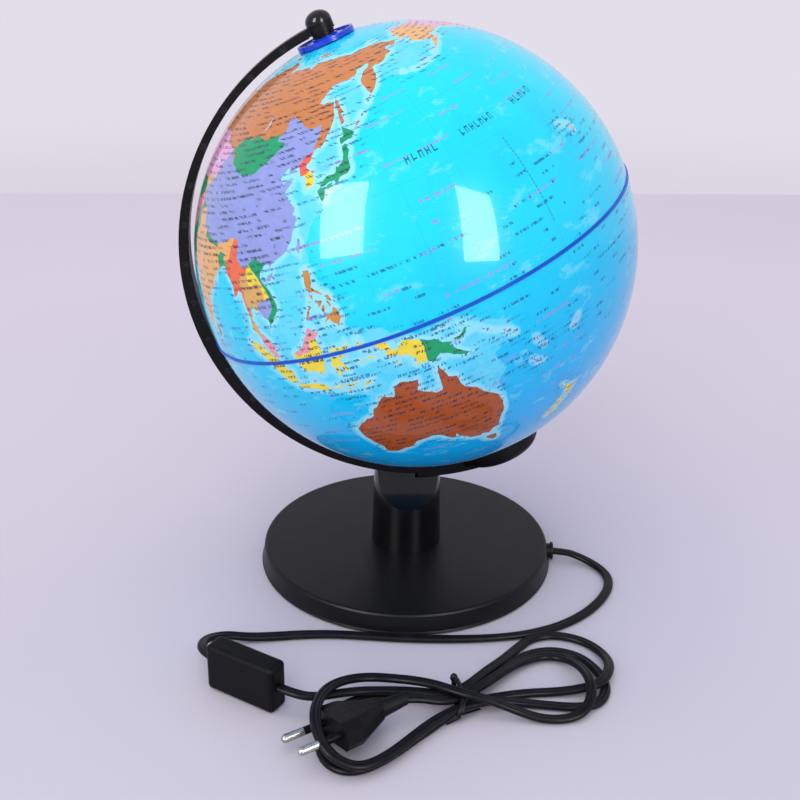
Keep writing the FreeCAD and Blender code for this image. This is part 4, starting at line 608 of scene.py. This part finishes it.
def hemisphere(name, keep, mat, cad):
    t = tri[keep]
    used, inv = np.unique(t.ravel(), return_inverse=True)
    key, remap, verts, dd = {}, np.zeros(len(used), int), [], []
    for i, k in enumerate(used):
        lon = vx[k] if vx[k] < E - 1e-4 else W
        q = (round(float(lon), 5), round(float(vy[k]), 5))
        if q not in key:
            key[q] = len(verts)
            verts.append((float(lon), float(vy[k])))
            dd.append(float(deep[k]))
        remap[i] = key[q]
    f = remap[inv].reshape(-1, 3)
    good = (f[:, 0] != f[:, 1]) & (f[:, 1] != f[:, 2]) & (f[:, 0] != f[:, 2])
    f, cols, kk = f[good], rgb[keep][good], kind[keep][good]
    n = len(verts)
    outer = [on_ball(*printed_at(a, b2), BALL_R) for a, b2 in verts]
    inner = [on_ball(*printed_at(a, b2), BALL_R - 0.0018) for a, b2 in verts]
    seen = {}
    for a, b2, c in f:
        for e in ((a, b2), (b2, c), (c, a)):
            seen[tuple(sorted((int(e[0]), int(e[1]))))] = seen.get(tuple(sorted((int(e[0]), int(e[1])))), 0) + 1
    faces = [tuple(int(v) for v in q) for q in f] + [tuple(int(v) + n for v in q[::-1]) for q in f]
    nf = len(f)
    for a, b2, c in f:
        for u, v in ((a, b2), (b2, c), (c, a)):
            if seen[tuple(sorted((int(u), int(v))))] == 1:
                faces.append((int(v), int(u), int(u) + n, int(v) + n))
    me = bpy.data.meshes.new(name)
    me.from_pydata([tuple(v) for v in outer + inner], [], faces)
    o = bpy.data.objects.new(name, me)
    COLL.objects.link(o)
    me.materials.append(mat)
    col = np.ones((len(me.loops), 4))
    col[:, :3] = (0.6, 0.7, 0.75)
    col[:nf * 3, :3] = np.repeat(cols, 3, axis=0)
    col[:nf * 3, 3] = 1.0
    a1 = me.color_attributes.new("map_tint", "FLOAT_COLOR", "CORNER")
    a1.data.foreach_set("color", col.ravel())
    kl = np.zeros((len(me.loops), 4))
    kl[:, 3] = 1.0
    kl[:nf * 3, 0] = np.repeat((kk > 0.9).astype(float), 3)
    kl[:nf * 3, 1] = np.repeat((kk > 0.4).astype(float), 3)
    vi = np.zeros(len(me.loops), int)
    me.loops.foreach_get("vertex_index", vi)
    kl[:, 2] = np.array(dd + dd)[vi]
    a2 = me.color_attributes.new("map_kind", "FLOAT_COLOR", "CORNER")
    a2.data.foreach_set("color", kl.ravel())
    me.polygons.foreach_set("use_smooth", [True] * (2 * nf) + [False] * (len(faces) - 2 * nf))
    me.set_sharp_from_angle(angle=math.radians(50))
    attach(o, "globe")
    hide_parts(cad)
    return o


def map_material(name):
    m, nt, b = new_mat(name)
    L = nt.links.new
    tc = nt.nodes.new("ShaderNodeTexCoord")

    def vmath(op, a, v):
        n = nt.nodes.new("ShaderNodeVectorMath")
        n.operation = op
        L(a, n.inputs[0])
        n.inputs[1].default_value = tuple(v)
        return n

    rel = vmath("SUBTRACT", tc.outputs["Object"], BALL_C).outputs["Vector"]
    unitv = nt.nodes.new("ShaderNodeVectorMath")
    unitv.operation = "NORMALIZE"
    L(rel, unitv.inputs[0])
    uo = unitv.outputs["Vector"]
    sx, sy, sz = (vmath("DOT_PRODUCT", uo, v).outputs["Value"] for v in (EX, EY, AXIS))
    DEG = 57.29578
    lat = math_n(nt, "MULTIPLY", math_n(nt, "ARCSINE", sz), DEG)
    lon = math_n(nt, "MULTIPLY", math_n(nt, "ARCTAN2", sy, sx), DEG)
    cosl = math_n(nt, "SQRT", math_n(nt, "SUBTRACT", 1.0, math_n(nt, "MULTIPLY", sz, sz)))

    def stretch(u, v, w=None):
        n = nt.nodes.new("ShaderNodeCombineXYZ")
        for i, k in enumerate((u, v, w)):
            if k is None:
                continue
            if isinstance(k, (int, float)):
                n.inputs[i].default_value = k
            else:
                L(k, n.inputs[i])
        return n.outputs[0]

    def mix(fac, a, c2, mode="MIX"):
        n = nt.nodes.new("ShaderNodeMix")
        n.data_type = "RGBA"
        n.blend_type = mode
        if isinstance(fac, (int, float)):
            n.inputs[0].default_value = fac
        else:
            L(fac, n.inputs[0])
        for i, k in ((6, a), (7, c2)):
            if isinstance(k, tuple):
                n.inputs[i].default_value = k + (1.0,)
            else:
                L(k, n.inputs[i])
        return n.outputs[2]

    def band(v, lo, hi):
        n = nt.nodes.new("ShaderNodeMapRange")
        n.interpolation_type = "SMOOTHSTEP"
        n.inputs["From Min"].default_value, n.inputs["From Max"].default_value = lo, hi
        L(v, n.inputs["Value"])
        return n.outputs["Result"]

    tint = node(nt, "ShaderNodeAttribute", attribute_name="map_tint").outputs["Color"]
    kindc = node(nt, "ShaderNodeAttribute", attribute_name="map_kind").outputs["Color"]
    sep = nt.nodes.new("ShaderNodeSeparateColor")
    L(kindc, sep.inputs[0])
    landm, shelfm, dist = sep.outputs[0], sep.outputs[1], sep.outputs[2]
    big = noise(nt, uo, 3.2, 5.0, 0.62)
    fine = noise(nt, uo, 14.0, 6.0, 0.66)
    # open water: bright cyan in the north, painted darker and bluer towards the south, the lower side of the ball:
    # painted shade from the light above
    sea_painted_shade_fac = band(lat, -46.0, 22.0)
    sea = mix(sea_painted_shade_fac, (0.004, 0.45, 0.95), (0.004, 0.74, 0.96))
    sea = mix(math_n(nt, "MULTIPLY", band(big, 0.40, 0.75), 0.35), sea, (0.006, 0.52, 0.92))
    # pale ridges and banks out at sea
    ridge = band(noise(nt, stretch(math_n(nt, "MULTIPLY", lon, 0.085), math_n(nt, "MULTIPLY", lat, 0.16), 3.0), 1.0, 6.0, 0.70), 0.555, 0.64)
    sea = mix(math_n(nt, "MULTIPLY", ridge, 0.42), sea, (0.26, 0.82, 0.96))
    # shallow water along the coasts and over the wide shelves
    dwob = math_n(nt, "ADD", dist, math_n(nt, "MULTIPLY", math_n(nt, "SUBTRACT", fine, 0.5), 0.16))
    near = math_n(nt, "SUBTRACT", 1.0, band(dwob, 0.05, 0.13))
    sh = math_n(nt, "MULTIPLY", shelfm, math_n(nt, "ADD", 0.45, math_n(nt, "MULTIPLY", band(fine, 0.38, 0.62), 0.40)))
    sea = mix(sh, sea, (0.16, 0.72, 0.93))
    sea = mix(math_n(nt, "MULTIPLY", near, 0.55), sea, (0.42, 0.85, 0.93))
    # printed land: plain tints with a slight relief
    relief = noise(nt, uo, 26.0, 7.0, 0.7)
    shade = nt.nodes.new("ShaderNodeMapRange")
    shade.inputs["From Min"].default_value, shade.inputs["From Max"].default_value = 0.25, 0.75
    shade.inputs["To Min"].default_value, shade.inputs["To Max"].default_value = 0.86, 1.08
    L(relief, shade.inputs["Value"])
    grey = nt.nodes.new("ShaderNodeCombineColor")
    for i in range(3):
        L(shade.outputs["Result"], grey.inputs[i])
    ground = mix(1.0, tint, grey.outputs[0], "MULTIPLY")
    col = mix(landm, sea, ground)
    # graticule, every fifteen degrees
    def lines(v, every, width):
        fr = math_n(nt, "FRACT", math_n(nt, "ADD", math_n(nt, "DIVIDE", v, every), 1000.5))
        return math_n(nt, "LESS_THAN", math_n(nt, "ABSOLUTE", math_n(nt, "SUBTRACT", fr, 0.5)), width / every / 2)
    lonw = math_n(nt, "ADD", lon, LON0)
    gr = math_n(nt, "MAXIMUM", lines(lat, 15.0, 0.14), lines(lonw, 15.0, 0.16))
    col = mix(math_n(nt, "MULTIPLY", gr, 0.16), col, (0.02, 0.16, 0.42))
    # date line, dashed
    dl = math_n(nt, "LESS_THAN", math_n(nt, "ABSOLUTE", math_n(nt, "SUBTRACT", lonw, 180.0)), 0.11)
    dash = math_n(nt, "LESS_THAN", math_n(nt, "FRACT", math_n(nt, "MULTIPLY", lat, 1.1)), 0.62)
    span = math_n(nt, "MULTIPLY", math_n(nt, "GREATER_THAN", lat, 7.0), math_n(nt, "LESS_THAN", lat, 29.0))
    col = mix(math_n(nt, "MULTIPLY", math_n(nt, "MULTIPLY", dl, dash), math_n(nt, "MULTIPLY", span, 0.85)), col, (0.02, 0.07, 0.14))

    # rows of small marks where a map carries its place names; they spell nothing
    def names(pitch, height, shift, word, share, tone, strength, where):
        nonlocal col
        row = math_n(nt, "ADD", math_n(nt, "DIVIDE", lat, pitch), 500.0 + shift)
        idx = math_n(nt, "FLOOR", row)
        fr = math_n(nt, "FRACT", row)
        centre = math_n(nt, "ABSOLUTE", math_n(nt, "SUBTRACT", fr, 0.5))
        inrow = math_n(nt, "LESS_THAN", centre, height / pitch / 2)
        along = math_n(nt, "MULTIPLY", lon, cosl)
        words = noise(nt, stretch(math_n(nt, "MULTIPLY", along, word), math_n(nt, "MULTIPLY", idx, 7.31), shift * 3.1), 1.0, 1.0, 0.5)
        wm = math_n(nt, "GREATER_THAN", words, share)
        letters = noise(nt, stretch(math_n(nt, "MULTIPLY", along, 2.6), math_n(nt, "ADD", math_n(nt, "MULTIPLY", idx, 3.17), math_n(nt, "MULTIPLY", fr, 1.4)), shift * 5.3), 1.0, 1.0, 0.5)
        lm = band(letters, 0.46, 0.54)
        f = math_n(nt, "MULTIPLY", math_n(nt, "MULTIPLY", inrow, wm), math_n(nt, "MULTIPLY", lm, where))
        col = mix(math_n(nt, "MULTIPLY", f, strength), col, tone)
    names(1.62, 0.70, 0.0, 0.24, 0.475, (0.030, 0.030, 0.06), 0.88, landm)
    sea_near = math_n(nt, "MULTIPLY", math_n(nt, "SUBTRACT", 1.0, landm), math_n(nt, "SUBTRACT", 1.0, band(dist, 0.10, 0.42)))
    names(1.55, 0.60, 0.37, 0.20, 0.515, (0.01, 0.10, 0.30), 0.85, sea_near)
    sea_only = math_n(nt, "SUBTRACT", 1.0, landm)
    tropic = math_n(nt, "MULTIPLY", sea_only, math_n(nt, "LESS_THAN", math_n(nt, "ABSOLUTE", lat), 25.0))
    names(2.7, 0.68, 0.13, 0.17, 0.565, (0.01, 0.12, 0.32), 0.80, tropic)
    names(5.2, 0.66, 0.71, 0.10, 0.58, (0.42, 0.16, 0.62), 0.65, sea_only)
    # three groups of larger strokes where the ocean's name would run; they are not letters
    for a0, a1, count, seed in ((153.6, 163.6, 5, 1.0), (170.7, 182.3, 7, 2.0), (190.5, 200.8, 5, 4.0)):
        t = math_n(nt, "DIVIDE", math_n(nt, "SUBTRACT", math_n(nt, "FLOORED_MODULO", lonw, 360.0), a0), a1 - a0)
        on = math_n(nt, "MULTIPLY", math_n(nt, "GREATER_THAN", t, 0.0), math_n(nt, "LESS_THAN", t, 1.0))
        y = math_n(nt, "DIVIDE", math_n(nt, "SUBTRACT", lat, 33.5), 1.9)
        tall = math_n(nt, "MULTIPLY", math_n(nt, "GREATER_THAN", y, 0.0), math_n(nt, "LESS_THAN", y, 1.0))
        cell = math_n(nt, "MULTIPLY", t, float(count))
        k = math_n(nt, "FLOOR", cell)
        x = math_n(nt, "FRACT", cell)
        pick = math_n(nt, "FRACT", math_n(nt, "MULTIPLY", math_n(nt, "ADD", k, seed), 0.618))
        stem = math_n(nt, "LESS_THAN", math_n(nt, "ABSOLUTE", math_n(nt, "SUBTRACT", x, 0.22)), 0.085)
        stem2 = math_n(nt, "MULTIPLY", math_n(nt, "LESS_THAN", math_n(nt, "ABSOLUTE", math_n(nt, "SUBTRACT", x, 0.66)), 0.06), math_n(nt, "GREATER_THAN", pick, 0.45))
        inx = math_n(nt, "MULTIPLY", math_n(nt, "GREATER_THAN", x, 0.14), math_n(nt, "LESS_THAN", x, 0.74))
        bar = math_n(nt, "MULTIPLY", inx, math_n(nt, "LESS_THAN", math_n(nt, "ABSOLUTE", math_n(nt, "SUBTRACT", y, pick)), 0.11))
        g = math_n(nt, "MAXIMUM", math_n(nt, "MAXIMUM", stem, stem2), bar)
        col = mix(math_n(nt, "MULTIPLY", math_n(nt, "MULTIPLY", on, tall), math_n(nt, "MULTIPLY", g, 0.85)), col, (0.01, 0.05, 0.13))
    L(col, b.inputs["Base Color"])
    rr = nt.nodes.new("ShaderNodeMapRange")
    rr.inputs["From Min"].default_value, rr.inputs["From Max"].default_value = 0.3, 0.7
    rr.inputs["To Min"].default_value, rr.inputs["To Max"].default_value = 0.20, 0.27
    L(noise(nt, uo, 6.0, 4.0), rr.inputs["Value"])
    L(rr.outputs["Result"], b.inputs["Roughness"])
    b.inputs["Specular IOR Level"].default_value = 0.12
    b.inputs["Coat Weight"].default_value = 0.60
    b.inputs["Coat Roughness"].default_value = 0.015
    b.inputs["Coat IOR"].default_value = 1.42
    return m


map_n = hemisphere("north_map_shell", cty > 0.4, map_material("map_north"), "north_hemisphere")
map_s = hemisphere("south_map_shell", cty < -0.4, map_material("map_south"), "south_hemisphere")
print("MAP", len(pts), len(tri), len(map_n.data.polygons))

# ------------------------------------------------------------------ edges
for n, w, seg in (("base_shell", 0.0007, 3), ("pedestal_post", 0.0006, 2), ("switch_front_shell", 0.0009, 3), ("switch_back_shell", 0.0009, 3), ("plug_body", 0.0006, 2), ("meridian_arm", 0.0005, 2),
                  ("lamp_holder_cup", 0.0006, 2), ("pole_knob", 0.0005, 2), ("time_dial", 0.00025, 2), ("switch_rocker", 0.0003, 2), ("cord_grommet", 0.0003, 2)):
    if n in NODES:
        shade_by_angle(NODES[n], 32)
        soften(n, w, 32, seg)
for n, o in NODES.items():
    if not o.modifiers and n not in ("north_hemisphere", "south_hemisphere"):
        shade_by_angle(o, 38)


# ------------------------------------------------------------------ degree figures on the arm, hour figures on the dial
def figure(text, size, depth):
    cu = bpy.data.curves.new("fig", "FONT")
    cu.body, cu.size, cu.extrude, cu.align_x, cu.align_y = text, size, depth, "CENTER", "CENTER"
    cu.resolution_u = 4
    o = bpy.data.objects.new("fig", cu)
    COLL.objects.link(o)
    bpy.context.view_layer.update()
    me = bpy.data.meshes.new_from_object(o)
    vs = [v.co.copy() for v in me.vertices]
    fs = [tuple(p.vertices) for p in me.polygons]
    bpy.data.objects.remove(o)
    bpy.data.curves.remove(cu)
    bpy.data.meshes.remove(me)
    return vs, fs


def join_parts(name, parts, mat, body):
    verts, faces = [], []
    for vs, fs in parts:
        k = len(verts)
        verts += vs
        faces += [tuple(i + k for i in f) for f in fs]
    return mesh_obj(name, verts, faces, mat, body, smooth=False)


def block(cx, ux, uy, uz, a, b2, c):
    vs = [cx + ux * (sx * a) + uy * (sy * b2) + uz * (sz * c) for sx in (-1, 1) for sy in (-1, 1) for sz in (-1, 1)]
    return vs, [(0, 1, 3, 2), (4, 6, 7, 5), (0, 4, 5, 1), (2, 3, 7, 6), (0, 2, 6, 4), (1, 5, 7, 3)]


parts = []
CO = Vector((0.0023 + 0.0037, 0.0, 0.1858 - 0.0017))
CI = Vector((0.0023 + 0.0001, 0.0, 0.1858 + 0.0015))
for d in range(80, -81, -5):
    ang = math.radians(90 - d)
    rad = AXIS * math.cos(ang) - EX * math.sin(ang)
    tan = (AXIS * math.sin(ang) + EX * math.cos(ang))
    # the face runs between two eccentric arcs
    def reach(c, r):
        q = BALL_C - c
        bq = q.dot(rad)
        return -bq + math.sqrt(bq * bq - q.dot(q) + r * r)
    ri, ro = reach(CI, 0.118), reach(CO, 0.1269)
    axial = (BALL_R * 1.05) * math.cos(ang)
    half = (5.8 - axial * 1000.0 / 65.0) / 1000.0
    face = Vector((0, -half, 0))
    if d % 10 == 0:
        vs, fs = figure(str(abs(d)), 0.0036, 0.00009)
        parts.append(([BALL_C + rad * ((ri + ro) / 2 - 0.0004) + face + tan * v.x * 1.0 + rad * v.y + Vector((0, -v.z, 0)) for v in vs], fs))
        parts.append(block(BALL_C + rad * (ri + 0.0009) + face, rad, tan, Vector((0, 1, 0)), 0.0006, 0.00012, 0.00009))
    else:
        parts.append(block(BALL_C + rad * (ri + 0.0012) + face, rad, tan, Vector((0, 1, 0)), 0.0009, 0.00012, 0.00009))
arm_marks = join_parts("arm_degree_scale", parts, MAT["mark_grey"], "stand")

parts = []
top = BALL_C + AXIS * 0.1163
for h in range(24):
    a = math.radians(15 * h)
    rad = EX * math.cos(a) + EY * math.sin(a)
    tan = AXIS.cross(rad)
    if h % 2 == 0:
        vs, fs = figure(str(12 if h % 12 == 0 else h % 12), 0.0030, 0.00012)
        parts.append(([top + rad * (0.0102 + v.y) - tan * v.x * -1.0 + AXIS * v.z for v in vs], fs))
    else:
        parts.append(block(top + rad * 0.0106, rad, tan, AXIS, 0.0009, 0.00014, 0.00012))
dial_marks = join_parts("dial_hour_figures", parts, MAT["dial_ink"], "time_dial")

# ------------------------------------------------------------------ twist tie round the bundle
TIE = [(16.9, -130.6, 5.0), (16.6, -130.2, 8.2), (17.2, -132.6, 9.7), (17.8, -136.0, 10.2), (18.6, -141.0, 10.4), (19.3, -146.6, 10.2), (19.2, -151.2, 9.0), (17.4, -154.6, 6.6), (16.2, -154.6, 3.4),
       (16.6, -150.4, 0.75), (17.4, -144.0, 0.65), (17.2, -137.0, 0.65), (16.9, -131.6, 1.2), (16.6, -129.4, 3.6), (16.5, -129.6, 6.6)]
TAIL_A = [(17.2, -154.2, 4.2), (14.6, -155.2, 3.2), (10.6, -155.6, 1.2)]
TAIL_B = [(17.6, -153.4, 4.4), (20.8, -151.6, 3.8), (24.2, -148.6, 2.6), (27.4, -146.0, 1.5)]


def strip(pts_mm, w, t):
    path = nurbs_line("strip_line", pts_mm)
    verts, faces, n = [], [], len(path)
    for i, p in enumerate(path):
        d = (path[min(i + 1, n - 1)] - path[max(i - 1, 0)]).normalized()
        side = Vector((1.0, 0.12, 0.0))
        side = (side - d * side.dot(d)).normalized()
        nor = d.cross(side).normalized()
        for a, b2 in ((-w, -t * 0.4), (-w * 0.35, -t * 0.5), (-w * 0.2, -t), (w * 0.2, -t), (w * 0.35, -t * 0.5), (w, -t * 0.4), (w, t * 0.4), (w * 0.35, t * 0.5), (w * 0.2, t), (-w * 0.2, t), (-w * 0.35, t * 0.5), (-w, t * 0.4)):
            verts.append(p + side * a + nor * b2)
    for i in range(n - 1):
        for j in range(12):
            a, b2 = i * 12 + j, i * 12 + (j + 1) % 12
            faces.append((a, b2, b2 + 12, a + 12))
    faces.append(tuple(range(12))[::-1])
    faces.append(tuple((n - 1) * 12 + j for j in range(12)))
    return verts, faces


knob = bmesh.new()
bmesh.ops.create_uvsphere(knob, u_segments=16, v_segments=10, radius=0.0019)
kv = [Vector((v.co.x * 1.0, v.co.y * 0.9, v.co.z * 1.25)) + Vector((0.0165, -0.1297, 0.0078)) for v in knob.verts]
kf = [tuple(v.index for v in f.verts) for f in knob.faces]
knob.free()
tie = join_parts("twist_tie", [strip(TIE, 0.0012, 0.0004), strip(TAIL_A, 0.0012, 0.0004), strip(TAIL_B, 0.0012, 0.0004), (kv, kf)], MAT["soft_black"], "stand")
for p in tie.data.polygons:
    p.use_smooth = True
tie.data.set_sharp_from_angle(angle=math.radians(50))
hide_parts("cord_tie")

# ------------------------------------------------------------------ floor, lights, world
floor_mat, nt, b = new_mat("floor_pale")
tc = nt.nodes.new("ShaderNodeTexCoord")
sepf = nt.nodes.new("ShaderNodeSeparateXYZ")
nt.links.new(tc.outputs["Object"], sepf.inputs[0])
# painted shade: the floor colour is darker towards the front and lighter towards the back, where it meets the backdrop
floor_shade_fac = nt.nodes.new("ShaderNodeMapRange")
floor_shade_fac.inputs["From Min"].default_value, floor_shade_fac.inputs["From Max"].default_value = -0.35, 0.5
nt.links.new(sepf.outputs[1], floor_shade_fac.inputs["Value"])
floor_painted_shade = nt.nodes.new("ShaderNodeMix")
floor_painted_shade.data_type = "RGBA"
nt.links.new(floor_shade_fac.outputs["Result"], floor_painted_shade.inputs[0])
nt.links.new(ramp(nt, noise(nt, tc.outputs["Object"], 3.0, 5.0), [(0.3, (0.565, 0.550, 0.620)), (0.7, (0.600, 0.585, 0.655))]), floor_painted_shade.inputs[6])
nt.links.new(ramp(nt, noise(nt, tc.outputs["Object"], 2.0, 5.0), [(0.3, (0.670, 0.625, 0.700)), (0.7, (0.700, 0.655, 0.730))]), floor_painted_shade.inputs[7])
nt.links.new(floor_painted_shade.outputs[2], b.inputs["Base Color"])
b.inputs["Roughness"].default_value = 0.62
b.inputs["Specular IOR Level"].default_value = 0.25
floor_me = bpy.data.meshes.new("floor")
floor_me.from_pydata([(-5, -5, 0), (5, -5, 0), (5, 0.9, 0), (-5, 0.9, 0)], [], [(0, 1, 2, 3)])
floor = bpy.data.objects.new("floor", floor_me)
COLL.objects.link(floor)
floor_me.materials.append(floor_mat)

glow, nt, b = new_mat("window_glow")
nt.nodes.remove(b)
em = node(nt, "ShaderNodeEmission", Color=(1.0, 1.0, 0.90, 1.0), Strength=15.0)
nt.links.new(em.outputs[0], nt.nodes["Material Output"].inputs["Surface"])
for k, quad in enumerate((((-1.2168, -0.7786, 1.206), (-0.7292, -1.0789, 1.4659), (-0.8498, -1.5472, 0.5633), (-1.359, -1.1773, 0.3789)),
                          ((0.4533, -1.2332, 1.4615), (0.8911, -1.1088, 1.2182), (1.0626, -1.4289, 0.4292), (0.5872, -1.6813, 0.4727)))):
    me = bpy.data.meshes.new("window_%d" % k)
    me.from_pydata(quad, [], [(0, 1, 2, 3)])
    o = bpy.data.objects.new("window_%d" % k, me)
    COLL.objects.link(o)
    me.materials.append(glow)
    o.visible_camera = False
    o.visible_diffuse = False

top_l = bpy.data.lights.new("soft_top", "AREA")
top_l.shape, top_l.size, top_l.energy, top_l.color = "DISK", 2.2, 9.0, (1.0, 0.98, 0.97)
top_o = bpy.data.objects.new("soft_top", top_l)
top_o.location = (-0.3, 0.5, 2.4)
COLL.objects.link(top_o)
top_o.visible_glossy = False
key_l = bpy.data.lights.new("soft_key", "AREA")
key_l.shape, key_l.size, key_l.energy, key_l.color = "DISK", 1.4, 9.5, (1.0, 0.99, 0.98)
key_o = bpy.data.objects.new("soft_key", key_l)
key_o.location = (-0.55, -1.25, 1.55)
key_o.rotation_euler = (Vector((0.0, 0.0, 0.15)) - Vector(key_o.location)).to_track_quat("-Z", "Y").to_euler()
COLL.objects.link(key_o)
key_o.visible_glossy = False
fill_l = bpy.data.lights.new("soft_fill", "AREA")
fill_l.shape, fill_l.size, fill_l.energy, fill_l.color = "DISK", 1.6, 16.0, (0.97, 0.98, 1.0)
fill_o = bpy.data.objects.new("soft_fill", fill_l)
fill_o.location = (-0.80, -2.60, 0.90)
fill_o.rotation_euler = (Vector((0.0, 0.0, 0.14)) - Vector(fill_o.location)).to_track_quat("-Z", "Y").to_euler()
COLL.objects.link(fill_o)
fill_o.visible_glossy = False

w = bpy.data.worlds.new("studio")
scene.world = w
w.use_nodes = True
bg = w.node_tree.nodes["Background"]
wn = w.node_tree
wtc = wn.nodes.new("ShaderNodeTexCoord")
wsep = wn.nodes.new("ShaderNodeSeparateXYZ")
wn.links.new(wtc.outputs["Generated"], wsep.inputs[0])
# painted shade: the backdrop is darker in its lowest band, just above the far edge of the floor, and lighter higher up
backdrop_shade_fac = wn.nodes.new("ShaderNodeMapRange")
backdrop_shade_fac.inputs["From Min"].default_value, backdrop_shade_fac.inputs["From Max"].default_value = -0.24, -0.16
wn.links.new(wsep.outputs[2], backdrop_shade_fac.inputs["Value"])
wn.links.new(ramp(wn, backdrop_shade_fac.outputs["Result"], [(0.0, (0.700, 0.645, 0.735)), (1.0, (0.765, 0.735, 0.825))]), bg.inputs["Color"])
bg.inputs["Strength"].default_value = 1.0
scene.view_settings.view_transform = "Standard"
